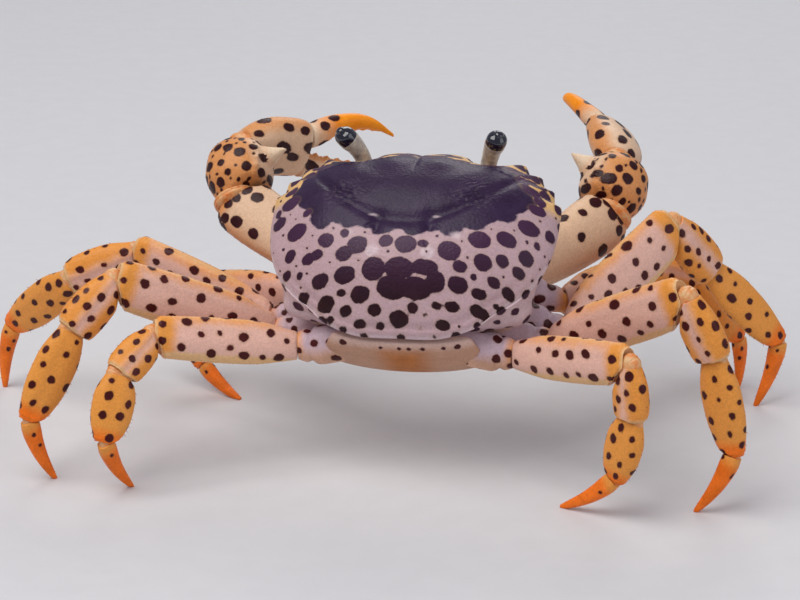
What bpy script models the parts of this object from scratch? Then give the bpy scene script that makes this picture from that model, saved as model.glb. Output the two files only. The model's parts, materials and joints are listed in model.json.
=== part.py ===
# Panther crab, life size, standing with its front raised and both claws lifted.
# The body is drawn in its own frame (x to its right, y to its head, z up from its back)
# and then tilted into the pose. The origin is under the middle of the whole animal,
# at the level of the eight feet. Lengths are in millimetres until add_piece makes them metres.

import math

import bmesh
import bpy
from mathutils import Matrix, Vector

MM = 0.001
GAP = 0.3
HALF_GAP = GAP / 2

# Body pose
BODY_PLACE = (-1.5, 0.0, 41.3)
BODY_PITCH = 37.5
BODY_ROLL = -2.0
BODY_YAW = -10.0

# Carapace
SHELL_TOP = 9.0
SHELL_BOTTOM = -7.0
DOME_BELLY = 2.5
DOME_EDGE = 0.72
DOME_SHIFT = 1.5
MARGIN_DROP = 1.5
REAR_SILL = 1.8
REAR_RIM = 0.35
FLANK_FLARE = 4.6
FLANK_PLACE = (-14.0, 5.2)
FLANK_LEVEL = (-4.8, 3.2)
FLANK_LAG = 0.25
MARGIN_STEPS = 2
SOFT_PASSES = 14
SHELL_SCALES = (0.08, 0.22, 0.36, 0.50, 0.62, 0.73, 0.82, 0.89, 0.945, 0.98, 1.0)
WALL_LEVELS = (-0.9, -2.0, -3.2, -4.4, -5.6, -7.0)

# Eye sockets, feeler pits and mouth frame in the front wall: distance from the middle and reach,
# level and reach, and depth, where a depth below zero is a ledge
FACE_DENTS = (
    (13.2, 3.6, -2.4, 1.5, 2.4), (13.2, 4.6, -4.8, 0.9, -1.1),
    (3.6, 2.6, -2.6, 1.2, 1.6), (0.0, 7.0, -5.2, 1.0, -1.0),
)

# Right half of the margin, from the notch between the eyes to the middle of the rear edge.
# The last number is 1 at the points and notches of the teeth, which stay sharp.
MARGIN_HALF = (
    (0.0, 18.5, 0), (2.4, 19.3, 0), (5.4, 19.4, 0), (7.9, 18.7, 0), (9.4, 17.3, 0),
    (12.0, 16.5, 0), (14.8, 16.2, 0), (17.0, 16.5, 0), (18.6, 17.2, 1), (19.6, 14.8, 1),
    (21.8, 14.4, 1), (22.5, 11.9, 1), (24.3, 11.2, 1), (24.6, 8.7, 1), (25.9, 7.8, 1),
    (26.0, 4.4, 0), (25.8, 0.0, 0), (24.8, -4.8, 0), (22.7, -9.0, 0), (19.4, -12.4, 0),
    (16.0, -15.0, 0), (12.8, -17.8, 0), (7.4, -19.8, 0), (0.0, -20.0, 0),
)

# Swellings on the back, each mirrored: middle, reach across and along, height
SHELL_SWELLINGS = (
    (4.2, 12.5, 3.2, 2.4, 0.55),
    (0.0, 5.5, 8.0, 4.5, 0.45),
    (16.0, 0.0, 6.5, 9.0, 0.70),
    (0.0, -8.0, 5.5, 4.0, 0.45),
)
NECK_GROOVE = (-1.8, 0.035, 1.3, 0.60)
HEART_GROOVE = (4.6, -2.5, 1.1, 3.2, 0.50)

# Thorax: level, then the part kept of the width, of the front and of the rear
THORAX_RINGS = (
    (-7.3, 0.97, 0.95, 0.98), (-9.2, 0.93, 0.93, 0.97), (-11.4, 0.84, 0.85, 0.95),
    (-13.4, 0.74, 0.74, 0.92), (-15.0, 0.62, 0.62, 0.88), (-15.8, 0.49, 0.48, 0.80),
)

# Pleon: place to the rear, height and half width along it from its root to its tip
PLEON_PATH = (
    (-19.3, -3.1, 12.4), (-19.8, -6.0, 13.6), (-19.7, -9.2, 14.0), (-18.7, -12.2, 14.0),
    (-16.4, -15.4, 13.8), (-12.2, -17.3, 13.2), (-7.0, -17.7, 12.0), (-1.5, -17.4, 10.0),
    (3.0, -17.0, 7.0), (6.4, -16.6, 2.8),
)
PLEON_SEGMENTS = 7
PLEON_SEAM = 0.07
PLEON_THICK = 2.0
PLEON_SEAM_THICK = 1.5
PLEON_ARCH = 1.3
PLEON_SIDES = 16

# Where each limb leaves the body, front to rear, and where the hips of the legs end
HIPS = {
    "claw": (14.2, 6.2, -13.6), "leg1": (19.6, 0.2, -15.4), "leg2": (20.4, -6.6, -14.8),
    "leg3": (19.2, -11.9, -12.7), "leg4": (14.8, -16.8, -9.3),
}
HIP_ENDS = {
    "leg1": (25.4, 0.2, -18.4), "leg2": (27.2, -7.2, -17.2), "leg3": (25.4, -12.2, -13.0),
    "leg4": (19.6, -17.4, -9.2),
}
HIP_ROOT = 6.0
HIP_RISE = 0.25

# Length, height and thickness of each walking leg's pieces; of the hip, height and thickness
LEG_SIZES = {
    "leg1": {"hip": (5.6, 4.4), "merus": (24.5, 7.8, 4.1), "carpus": (11.5, 6.8, 4.5),
             "propodus": (17.0, 6.4, 3.6), "dactylus": (10.5, 3.2, 2.6)},
    "leg2": {"hip": (6.2, 4.9), "merus": (30.4, 10.0, 4.4), "carpus": (13.5, 8.2, 4.7),
             "propodus": (21.0, 7.4, 3.8), "dactylus": (13.5, 3.5, 2.8)},
    "leg3": {"hip": (6.2, 4.9), "merus": (30.9, 9.2, 4.4), "carpus": (11.5, 7.6, 4.7),
             "propodus": (17.5, 7.4, 3.8), "dactylus": (12.5, 3.5, 2.8)},
    "leg4": {"hip": (6.6, 5.2), "merus": (26.0, 7.8, 4.2), "carpus": (9.5, 6.8, 4.4),
             "propodus": (12.0, 7.2, 3.6), "dactylus": (12.5, 3.3, 2.6)},
}

# Direction of each piece: angle forward from straight out, and angle above the level.
# The last piece has only its forward angle, since its foot reaches down to the floor.
LEG_POSES = {
    "leg1_left": ((41, -12), (46, -12), (215, -54), 219),
    "leg1_right": ((47, 1), (30, -21), (24, -51), 57),
    "leg2_left": ((27, 16), (0, -22), (40, -37), 33),
    "leg2_right": ((42, 28), (28, -48), (16, -47), 183),
    "leg3_left": ((-13, 22), (-33, -41), (-30, -60), 153),
    "leg3_right": ((-39, 27), (-15, -64), (-13, -77), 172),
    "leg4_left": ((-12, 8), (-48, -31), (-59, -67), 124),
    "leg4_right": ((-44, 10), (-34, -86), (147, -76), 150),
}

# Each row is a station along the piece, its height and its thickness, as parts of the full ones
LIMB_PROFILES = {
    "merus": ((0.0, 0.64, 0.80), (0.08, 0.74, 0.90), (0.28, 0.95, 1.0), (0.58, 1.0, 1.0),
              (0.86, 0.95, 1.0), (0.96, 0.92, 1.0), (1.0, 0.80, 0.88)),
    "carpus": ((0.0, 0.66, 0.76), (0.26, 0.90, 0.96), (0.60, 1.0, 1.0), (0.88, 0.94, 0.98),
               (1.0, 0.78, 0.84)),
    "propodus": ((0.0, 0.64, 0.80), (0.14, 0.84, 0.94), (0.38, 1.0, 1.0), (0.64, 0.96, 0.96),
                 (0.88, 0.74, 0.84), (1.0, 0.56, 0.72)),
    "dactylus": ((0.0, 0.90, 0.94), (0.12, 1.0, 1.0), (0.36, 0.86, 0.88), (0.62, 0.66, 0.70),
                 (0.84, 0.46, 0.52), (1.0, 0.26, 0.34)),
    "arm": ((0.0, 0.60, 0.74), (0.20, 0.76, 0.86), (0.50, 0.92, 1.0), (0.80, 1.0, 1.0),
            (0.94, 0.98, 0.98), (1.0, 0.86, 0.88)),
    "wrist": ((0.0, 0.62, 0.60), (0.16, 0.84, 0.82), (0.42, 1.0, 1.0), (0.70, 0.98, 0.98),
              (0.90, 0.80, 0.82), (1.0, 0.62, 0.64)),
}
LEG_SIDES = 10
LIMB_BULGE = 2.3
DACTYLUS_BOW = 0.05
FOOT_SPREAD = 1.2
FOOT_CLEARANCE = 0.25

# The least part of its full distance from a joint that a bent piece keeps on its inner side
BEND_SQUEEZE = 0.45

# Claws: length, height and thickness of the pieces up to the wrist, and their directions
CLAW_SIZES = {"hip": (7.0, 6.0, 5.6), "arm": (24.0, 11.6, 7.4), "wrist": (11.4, 12.6, 12.2)}
CLAW_POSES = {
    "claw_left": {"hip": (30, -35), "arm": (41, 21), "wrist": (98, 50), "palm": (138, -12),
                  "turn": -15, "gape": 17},
    "claw_right": {"hip": (30, -35), "arm": (48, 14), "wrist": (74, 48), "palm": (90, 7),
                   "turn": -50, "gape": 17},
}
CLAW_SIDES = 12

# Palm with its fixed finger, and the moving finger: distance from the wrist,
# height of the middle, full height and thickness
PALM_STATIONS = (
    (0.0, 0.0, 6.6, 5.6), (2.0, 0.0, 9.2, 6.8), (5.5, 0.1, 11.4, 7.4), (10.0, 0.1, 12.0, 6.8),
    (14.3, 0.0, 11.0, 5.4), (14.8, -3.1, 5.4, 4.6), (19.0, -3.6, 4.2, 3.8), (24.0, -3.4, 3.3, 3.0),
    (28.4, -2.3, 2.1, 2.0), (31.2, -0.9, 0.8, 0.9),
)
FINGER_STATIONS = (
    (15.1, 2.8, 4.7, 4.0), (16.8, 3.2, 5.0, 4.2), (20.0, 4.2, 4.1, 3.6), (24.5, 4.5, 3.2, 2.9),
    (28.8, 3.4, 2.2, 2.0), (32.2, 0.9, 0.8, 0.9),
)
FINGER_HINGE = (15.4, 2.8)
FINGERS_BEND = 5.0
BEND_START = 6.0

# Blunt teeth where the fingers meet: their distances from the wrist
FIXED_TEETH = (18.0, 20.6, 23.0, 25.2, 27.2)
MOVING_TEETH = (19.3, 21.9, 24.2, 26.3, 28.2)
TOOTH_BASE = 0.85
TOOTH_HEIGHT = 0.75
TOOTH_ROOT = 0.7

# Thorn on the inner side of each wrist
THORN_BASE = 1.8
THORN_LENGTH = 3.8
THORN_ROOT = 2.5
THORN_STATION = 0.74
THORN_HEADING = (-1.0, 0.2, 0.9)

# Eyes, feelers and mouth plates, in the body's frame
EYE_PATH = (
    (9.6, 12.2, -3.6), (11.0, 16.6, -2.6), (11.7, 18.2, -0.4), (12.3, 18.8, 1.8), (12.8, 19.1, 3.4),
    (13.3, 19.3, 4.9), (13.6, 19.4, 5.8),
)
EYE_RADII = (1.4, 1.5, 1.5, 1.65, 1.9, 1.75, 0.8)
EYE_LEAN = {"left": 1.5, "right": 0.4}
ANTENNA_PATH = (
    (7.0, 12.2, -4.0), (7.6, 16.8, -4.2), (8.4, 18.8, -4.8), (9.8, 20.4, -6.2), (11.4, 21.2, -8.2),
    (13.2, 21.4, -10.6),
)
ANTENNA_RADII = (1.0, 1.0, 0.62, 0.5, 0.4, 0.28)
MOUTH_PATH = (
    (3.9, 15.4, -6.0), (4.2, 15.6, -7.2), (4.3, 15.2, -8.6), (4.3, 14.4, -9.3), (4.4, 13.6, -10.9),
    (4.2, 11.8, -12.8), (3.8, 9.4, -14.2),
)
MOUTH_HALF_WIDTHS = (2.0, 3.3, 3.7, 3.5, 3.9, 3.5, 2.4)
MOUTH_THICK = 2.4

PARTS_NAME = "panther_crab"
CUTTERS_NAME = "panther_crab_cutters"

COLOURS = {
    "shell": ((0.36, 0.29, 0.31), 0.32),
    "belly": ((0.60, 0.44, 0.30), 0.42),
    "limb": ((0.72, 0.42, 0.18), 0.34),
    "claw": ((0.74, 0.52, 0.30), 0.34),
    "finger": ((0.90, 0.36, 0.04), 0.30),
    "eye": ((0.03, 0.02, 0.05), 0.10),
}


def clear_scene():
    for thing in list(bpy.data.objects):
        bpy.data.objects.remove(thing, do_unlink=True)


def make_material(name):
    colour, roughness = COLOURS[name]
    material = bpy.data.materials.new(name)
    material.use_nodes = True
    shader = material.node_tree.nodes["Principled BSDF"]
    shader.inputs["Base Color"].default_value = (*colour, 1.0)
    shader.inputs["Roughness"].default_value = roughness
    shader.inputs["Metallic"].default_value = 0.0
    return material


def body_matrix():
    tilt = Matrix.Rotation(math.radians(BODY_YAW), 4, "Z")
    tilt = tilt @ Matrix.Rotation(math.radians(BODY_PITCH), 4, "X")
    tilt = tilt @ Matrix.Rotation(math.radians(BODY_ROLL), 4, "Y")
    return Matrix.Translation(BODY_PLACE) @ tilt


def smooth_step(low, high, value):
    part = min(1.0, max(0.0, (value - low) / (high - low)))
    return part * part * (3.0 - 2.0 * part)


def hill(value, middle, reach):
    return math.exp(-((value - middle) / reach) ** 2)


def smooth_between(points, index, part):
    last = len(points) - 1
    before, start, end, after = (points[min(max(index + step, 0), last)] for step in (-1, 0, 1, 2))
    return (start * 2 + (end - before) * part + (before * 2 - start * 5 + end * 4 - after) * part ** 2
            + (start * 3 - before - end * 3 + after) * part ** 3) / 2


def along_path(points, part):
    place = part * (len(points) - 1)
    index = min(int(place), len(points) - 2)
    return smooth_between(points, index, place - index)


def mesh_from_rings(name, rings):
    sides = len(rings[0])
    corners = [tuple(point * MM) for ring in rings for point in ring]
    faces = [tuple(range(sides)), tuple(range(len(corners) - sides, len(corners)))]
    for step in range(len(rings) - 1):
        for side in range(sides):
            after = (side + 1) % sides
            low = step * sides
            faces.append((low + side, low + after, low + sides + after, low + sides + side))
    mesh = bpy.data.meshes.new(name)
    mesh.from_pydata(corners, [], faces)
    shape = bmesh.new()
    shape.from_mesh(mesh)
    bmesh.ops.triangulate(shape, faces=shape.faces)
    bmesh.ops.recalc_face_normals(shape, faces=shape.faces)
    shape.to_mesh(mesh)
    shape.free()
    return mesh


def add_piece(name, rings, material, place):
    mesh = mesh_from_rings(name, rings)
    mesh.materials.append(MATERIALS[material])
    mesh.shade_smooth()
    mesh.set_sharp_from_angle(angle=math.radians(50))
    piece = bpy.data.objects.new(name, mesh)
    piece.matrix_world = place.copy()
    piece.matrix_world.translation = place.translation * MM
    piece.parent = ROOT
    PARTS.objects.link(piece)
    return piece


def oval(sides, half_height, half_thickness, bulge=LIMB_BULGE):
    points = []
    for side in range(sides):
        angle = 2 * math.pi * side / sides
        across = math.copysign(abs(math.cos(angle)) ** (2 / bulge), math.cos(angle))
        up = math.copysign(abs(math.sin(angle)) ** (2 / bulge), math.sin(angle))
        points.append((across * half_thickness, up * half_height))
    return points


def direction(side, forward, rise):
    forward = math.radians(forward)
    rise = math.radians(rise)
    out = math.cos(rise) * math.cos(forward)
    return Vector((side * out, math.cos(rise) * math.sin(forward), math.sin(rise)))


def frame_along(start, along, plane_normal):
    across = (plane_normal - along * plane_normal.dot(along)).normalized()
    up = along.cross(across)
    place = Matrix((along, across, up)).transposed().to_4x4()
    place.translation = start
    return place


def mitre(point, along, normal, anchor):
    return point + along * ((anchor - point).dot(normal) / along.dot(normal))


# Rings of a piece that runs along its own x, cut where it meets the pieces on either side
def limb_rings(place, size, profile, sides, start_cut, end_cut, bow=0.0):
    length, height, thickness = size
    along = Vector((1, 0, 0))
    end = along * length
    turn = place.to_3x3().transposed()
    start_normal = turn @ start_cut
    end_normal = turn @ end_cut
    rings = []
    for station, high, thick in profile:
        lift = bow * length * math.sin(math.pi * station)
        ring = []
        for across, up in oval(sides, height / 2 * high, thickness / 2 * thick):
            point = Vector((station * length, across, up + lift))
            first = mitre(point, along, start_normal, start_normal * HALF_GAP).x
            last = mitre(point, along, end_normal, end - end_normal * HALF_GAP).x
            low = first + (last - first) * station * BEND_SQUEEZE
            high_end = last - (last - first) * (1.0 - station) * BEND_SQUEEZE
            point.x = min(max(point.x, low), high_end)
            ring.append(point)
        rings.append(ring)
    return rings


def margin_ring():
    half = [Vector((x, y)) for x, y, _ in MARGIN_HALF]
    sharp = [bool(flag) for _, _, flag in MARGIN_HALF]
    right = []
    for index in range(len(half) - 1):
        for step in range(MARGIN_STEPS):
            part = step / MARGIN_STEPS
            if sharp[index] and sharp[index + 1]:
                right.append(half[index].lerp(half[index + 1], part))
            else:
                right.append(smooth_between(half, index, part))
    right.append(half[-1])
    left = [Vector((-point.x, point.y)) for point in right[1:-1]]
    return right + left[::-1]


def softened(ring, passes):
    for _ in range(passes):
        ring = [(ring[index - 1] + ring[index] * 2 + ring[(index + 1) % len(ring)]) / 4
                for index in range(len(ring))]
    return ring


def shell_relief(x, y):
    x = abs(x)
    relief = 0.0
    for middle_x, middle_y, reach_x, reach_y, height in SHELL_SWELLINGS:
        relief += height * hill(x, middle_x, reach_x) * hill(y, middle_y, reach_y)
    start, rise, width, depth = NECK_GROOVE
    relief -= depth * hill(y, start + rise * x * x, width) * (1 - smooth_step(15, 21, x))
    middle_x, middle_y, reach_x, reach_y, depth = HEART_GROOVE
    relief -= depth * hill(x, middle_x, reach_x) * hill(y, middle_y, reach_y)
    return relief


def shell_top(edge, scale):
    x = edge.x * scale
    y = edge.y * scale + DOME_SHIFT * (1.0 - scale)
    dome = (1.0 - scale ** DOME_BELLY) ** DOME_EDGE
    drop = MARGIN_DROP * abs(edge.y / 20.0) ** 3 * scale * scale
    rim = REAR_RIM * smooth_step(15, 18, -y) * hill(scale, 0.945, 0.03)
    return Vector((x, y, SHELL_TOP * dome - drop - rim + shell_relief(x, y) * (1.0 - scale ** 8)))


def shell_wall(edge, level):
    part = level / SHELL_BOTTOM
    front = smooth_step(-2, 12, edge.y)
    rear = smooth_step(12, 17, -edge.y)
    inset = 1.0 - part * (0.07 + 0.11 * front)
    y = edge.y * inset - 2.4 * part * front + REAR_SILL * rear * min(1.0, part * 2.5)
    face = smooth_step(12, 15, edge.y)
    for aside, reach, height, rise, depth in FACE_DENTS:
        y -= depth * face * hill(abs(edge.x), aside, reach) * hill(level, height, rise)
    flare = FLANK_FLARE * hill(edge.y, *FLANK_PLACE) * hill(level, *FLANK_LEVEL)
    return Vector((edge.x * inset + math.copysign(flare, edge.x), y - FLANK_LAG * flare, level))


def build_carapace(place):
    margin = margin_ring()
    soft = softened(margin, SOFT_PASSES)
    rings = []
    for scale in SHELL_SCALES:
        sharpness = smooth_step(0.80, 1.0, scale)
        rings.append([shell_top(calm.lerp(edge, sharpness), scale) for edge, calm in zip(margin, soft)])
    for level in WALL_LEVELS:
        sharpness = 1.0 - smooth_step(0.0, 0.7, level / SHELL_BOTTOM)
        rings.append([shell_wall(calm.lerp(edge, sharpness), level) for edge, calm in zip(margin, soft)])
    return add_piece("carapace", rings, "shell", place)


def build_thorax(place):
    outline = [shell_wall(edge, SHELL_BOTTOM) for edge in softened(margin_ring(), SOFT_PASSES)[::2]]
    rings = []
    for level, narrow, front, rear in THORAX_RINGS:
        ring = []
        for point in outline:
            keep = rear + (front - rear) * smooth_step(-4, 6, point.y)
            ring.append(Vector((point.x * narrow, point.y * keep, level)))
        rings.append(ring)
    return add_piece("thorax", rings, "belly", place)


def build_pleon(place):
    path = [Vector(point) for point in PLEON_PATH]
    seams = [PLEON_SEAM, 0.5, 1.0 - PLEON_SEAM]
    rings = []
    for segment in range(PLEON_SEGMENTS):
        for inside in seams:
            part = (segment + inside) / PLEON_SEGMENTS
            y, z, half_width = along_path(path, part)
            ahead = along_path(path, min(1.0, part + 0.01)) - along_path(path, max(0.0, part - 0.01))
            along = Vector((ahead.x, ahead.y)).normalized()
            outward = Vector((along.y, -along.x))
            thick = PLEON_THICK if inside == 0.5 else PLEON_SEAM_THICK
            ring = []
            for across, out in oval(PLEON_SIDES, thick / 2, half_width, bulge=3.0):
                sag = PLEON_ARCH * (across / half_width) ** 2
                spot = Vector((y, z)) + outward * (out - sag)
                ring.append(Vector((across, spot.x, spot.y)))
            rings.append(ring)
    return add_piece("pleon", rings, "belly", place)


def tube_rings(path, radii, sides, side, flat=1.0):
    points = [Vector((x * side, y, z)) for x, y, z in path]
    rings = []
    for index, point in enumerate(points):
        before = points[max(0, index - 1)]
        after = points[min(len(points) - 1, index + 1)]
        place = frame_along(point, (after - before).normalized(), Vector((1, 0, 0)))
        ring = oval(sides, radii[index] * flat, radii[index], bulge=2.0)
        rings.append([place @ Vector((0, across, up)) for across, up in ring])
    return rings


def build_hip(name, side, body, start, end, cut, plane_normal, size, material):
    height, thickness = size
    along = (end - start).normalized()
    inward = (body.to_3x3() @ Vector((-side, 0, HIP_RISE))).normalized()
    root = start + inward * HIP_ROOT
    rows = (
        (root, -inward, 0.94, 1.0), (start, (along - inward).normalized(), 1.06, 1.08),
        (start.lerp(end, 0.30), along, 1.0, 1.0), (start.lerp(end, 0.46), along, 0.84, 0.88),
        (start.lerp(end, 0.68), along, 0.90, 0.92), (end, along, 0.72, 0.78),
    )
    rings = []
    for centre, heading, high, thick in rows:
        frame = frame_along(centre, heading, plane_normal)
        ring = oval(LEG_SIDES, height / 2 * high, thickness / 2 * thick, bulge=2.0)
        rings.append([frame @ Vector((0, across, up)) for across, up in ring])
    rings[-1] = [mitre(point, along, cut, end - cut * HALF_GAP) for point in rings[-1]]
    return add_piece(name, rings, material, Matrix.Identity(4))


def hip_place(body, side, spot):
    return body @ Vector((spot[0] * side, spot[1], spot[2]))


# The last ring of a foot lies flat on the floor
def set_foot(rings, place):
    back = place.inverted()
    tip = place @ (sum(rings[-1], Vector()) / len(rings[-1]))
    for index, point in enumerate(rings[-1]):
        spread = (place @ point - tip) * FOOT_SPREAD
        rings[-1][index] = back @ Vector((tip.x + spread.x, tip.y + spread.y, 0.0))
    for ring in rings[:-1]:
        for index, point in enumerate(ring):
            spot = place @ point
            ring[index] = back @ Vector((spot.x, spot.y, max(spot.z, FOOT_CLEARANCE)))


def build_leg(kind, side_name, body):
    side = -1 if side_name == "left" else 1
    sizes = LEG_SIZES[kind]
    pose = LEG_POSES[f"{kind}_{side_name}"]
    headings = [direction(side, forward, rise) for forward, rise in pose[:3]]
    plane_normal = headings[0].cross(headings[2]).normalized()
    hip_start = hip_place(body, side, HIPS[kind])
    hip_end = hip_place(body, side, HIP_ENDS[kind])
    hip_cut = ((hip_end - hip_start).normalized() + headings[0]).normalized()
    hip = build_hip(f"{kind}_{side_name}_hip", side, body, hip_start, hip_end, hip_cut,
                    plane_normal, sizes["hip"], "limb")
    joints = [hip_end]
    for part, heading in zip(("merus", "carpus", "propodus"), headings):
        joints.append(joints[-1] + heading * sizes[part][0])
    rise = -math.degrees(math.asin(min(0.999, joints[-1].z / sizes["dactylus"][0])))
    headings.append(direction(side, pose[3], rise))
    cuts = [hip_cut]
    for before, after in zip(headings, headings[1:]):
        cuts.append((before + after).normalized())
    cuts.append(headings[-1])
    for index, part in enumerate(("merus", "carpus", "propodus", "dactylus")):
        place = frame_along(joints[index], headings[index], plane_normal)
        bow = DACTYLUS_BOW if part == "dactylus" else 0.0
        rings = limb_rings(place, sizes[part], LIMB_PROFILES[part], LEG_SIDES,
                           cuts[index], cuts[index + 1], bow)
        if part == "dactylus":
            set_foot(rings, place)
        add_piece(f"{kind}_{side_name}_{part}", rings, "limb", place)
    return hip


def station_rings(stations, sides):
    rings = []
    for x, middle, height, thickness in stations:
        ring = oval(sides, height / 2, thickness / 2, bulge=2.2)
        rings.append([Vector((x, across, middle + up)) for across, up in ring])
    return rings


def cone(base, root, tip, radius, sides=6):
    along = (tip - root).normalized()
    frame = frame_along(base, along, along.orthogonal())
    rings = []
    for centre, scale in ((root, 1.0), (base, 1.0), (base.lerp(tip, 0.6), 0.6), (tip, 0.12)):
        frame.translation = centre
        ring = oval(sides, radius * scale, radius * scale, bulge=2.0)
        rings.append([frame @ Vector((0, across, up)) for across, up in ring])
    return rings


# Joins small closed forms to a piece whose surface their roots lie under
def fuse(piece, forms):
    extras = bpy.data.collections.new(f"{piece.name}_forms")
    for index, rings in enumerate(forms):
        form = bpy.data.objects.new(f"{piece.name}_form", mesh_from_rings(f"form_{index}", rings))
        form.matrix_world = piece.matrix_world
        form.parent = ROOT
        extras.objects.link(form)
    bpy.context.scene.collection.children.link(extras)
    modifier = piece.modifiers.new("forms", "BOOLEAN")
    modifier.operation = "UNION"
    modifier.operand_type = "COLLECTION"
    modifier.solver = "EXACT"
    modifier.collection = extras
    apply_modifiers(piece)
    for form in list(extras.objects):
        bpy.data.objects.remove(form, do_unlink=True)
    bpy.data.collections.remove(extras)


# Height of the surface of a finger over its gape, on the side that up names
def gape_edge(stations, x, up):
    for before, after in zip(stations, stations[1:]):
        if before[0] <= x <= after[0]:
            part = (x - before[0]) / (after[0] - before[0])
            middle = before[1] + (after[1] - before[1]) * part
            return middle + up * (before[2] + (after[2] - before[2]) * part) / 2
    return 0.0


def tooth_rings(stations, x, up):
    base = Vector((x, 0.0, gape_edge(stations, x, up) - up * 0.1))
    lift = Vector((0.0, 0.0, up))
    return cone(base, base - lift * TOOTH_ROOT, base + lift * TOOTH_HEIGHT, TOOTH_BASE)


# Opens a finger about its hinge and bends it to the inner side, towards its tip
def bent(rings, side, gape):
    turn = Matrix.Rotation(math.radians(-gape), 3, "Y")
    hinge = Vector((FINGER_HINGE[0], 0.0, FINGER_HINGE[1]))
    result = []
    for ring in rings:
        points = [hinge + turn @ (point - hinge) for point in ring]
        for point in points:
            part = max(0.0, (point.x - BEND_START) / (PALM_STATIONS[-1][0] - BEND_START))
            point.y += side * FINGERS_BEND * part * part
        result.append(points)
    return result


def thorn_rings(place, side):
    length, _, thickness = CLAW_SIZES["wrist"]
    inward = place.to_3x3().transposed() @ Vector((side * THORN_HEADING[0], *THORN_HEADING[1:]))
    inward.x = 0.0
    inward.normalize()
    lean = (inward + Vector((0.35, 0, 0))).normalized()
    base = Vector((length * THORN_STATION, 0, 0)) + inward * (thickness / 2 - 0.4)
    return cone(base, base - lean * THORN_ROOT, base + lean * THORN_LENGTH, THORN_BASE)


def build_claw(side_name, body):
    side = -1 if side_name == "left" else 1
    name = f"claw_{side_name}"
    pose = CLAW_POSES[name]
    headings = {part: direction(side, *pose[part]) for part in ("hip", "arm", "wrist", "palm")}
    arm_normal = headings["arm"].cross(headings["wrist"]).normalized()
    cuts = [(headings["hip"] + headings["arm"]).normalized(),
            (headings["arm"] + headings["wrist"]).normalized(),
            (headings["wrist"] + headings["palm"]).normalized()]
    hip_start = hip_place(body, side, HIPS["claw"])
    start = hip_start + headings["hip"] * CLAW_SIZES["hip"][0]
    hip = build_hip(f"{name}_hip", side, body, hip_start, start, cuts[0], arm_normal,
                    CLAW_SIZES["hip"][1:], "claw")
    for index, part in enumerate(("arm", "wrist")):
        place = frame_along(start, headings[part], arm_normal)
        rings = limb_rings(place, CLAW_SIZES[part], LIMB_PROFILES[part], CLAW_SIDES,
                           cuts[index], cuts[index + 1])
        piece = add_piece(f"{name}_{part}", rings, "claw", place)
        start = start + headings[part] * CLAW_SIZES[part][0]
    fuse(piece, [thorn_rings(place, side)])
    level = Vector((0, 0, 1)).cross(headings["palm"]).normalized()
    palm_normal = Matrix.Rotation(math.radians(side * pose["turn"]), 3, headings["palm"]) @ level
    place = frame_along(start, headings["palm"], palm_normal)
    rings = bent(station_rings(PALM_STATIONS, CLAW_SIDES), side, 0.0)
    cut = place.to_3x3().transposed() @ cuts[2]
    for ring, (x, _, _, _) in zip(rings, PALM_STATIONS):
        for point in ring:
            first = mitre(point, Vector((1, 0, 0)), cut, cut * HALF_GAP).x
            point.x = max(point.x, first + x * BEND_SQUEEZE) if x else first
    palm = add_piece(f"{name}_palm", rings, "claw", place)
    fuse(palm, [bent(tooth_rings(PALM_STATIONS, x, 1), side, 0.0) for x in FIXED_TEETH])
    gape = pose["gape"]
    rings = bent(station_rings(FINGER_STATIONS, CLAW_SIDES), side, gape)
    finger = add_piece(f"{name}_finger", rings, "finger", place)
    fuse(finger, [bent(tooth_rings(FINGER_STATIONS, x, -1), side, gape) for x in MOVING_TEETH])
    return hip


def build_face(side_name, place):
    side = -1 if side_name == "left" else 1
    flat = MOUTH_THICK / 2 / max(MOUTH_HALF_WIDTHS)
    lean = EYE_LEAN[side_name]
    eye_path = [(x + lean * smooth_step(0, 6, z), y, z) for x, y, z in EYE_PATH]
    return [
        add_piece(f"eye_{side_name}", tube_rings(eye_path, EYE_RADII, 12, side), "eye", place),
        add_piece(f"antenna_{side_name}", tube_rings(ANTENNA_PATH, ANTENNA_RADII, 8, side), "limb", place),
        add_piece(f"maxilliped_{side_name}", tube_rings(MOUTH_PATH, MOUTH_HALF_WIDTHS, 12, side, flat),
                  "belly", place),
    ]


# A copy grown by the gap on every side, to cut its neighbours clear of the piece
def grown_copy(piece):
    mesh = piece.data.copy()
    shape = bmesh.new()
    shape.from_mesh(mesh)
    shape.normal_update()
    moves = [vertex.normal * GAP * MM * vertex.calc_shell_factor() for vertex in shape.verts]
    for vertex, move in zip(shape.verts, moves):
        vertex.co += move
    shape.to_mesh(mesh)
    shape.free()
    cutter = bpy.data.objects.new(f"{piece.name}_clearance", mesh)
    cutter.matrix_world = piece.matrix_world
    cutter.parent = ROOT
    cutter.hide_render = True
    cutter.display_type = "WIRE"
    CUTTERS.objects.link(cutter)
    return cutter


def keep_largest(mesh):
    shape = bmesh.new()
    shape.from_mesh(mesh)
    left = set(shape.faces)
    groups = []
    while left:
        first = left.pop()
        group = {first}
        border = [first]
        while border:
            face = border.pop()
            for edge in face.edges:
                for neighbour in edge.link_faces:
                    if neighbour in left:
                        left.discard(neighbour)
                        group.add(neighbour)
                        border.append(neighbour)
        groups.append(group)
    groups.sort(key=lambda group: sum(face.calc_area() for face in group))
    loose = [face for group in groups[:-1] for face in group]
    bmesh.ops.delete(shape, geom=loose, context="FACES")
    bmesh.ops.triangulate(shape, faces=shape.faces)
    shape.to_mesh(mesh)
    shape.free()


def apply_modifiers(piece):
    view = bpy.context.evaluated_depsgraph_get()
    view.update()
    mesh = bpy.data.meshes.new_from_object(piece.evaluated_get(view))
    piece.modifiers.clear()
    piece.data = mesh
    keep_largest(mesh)


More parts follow.
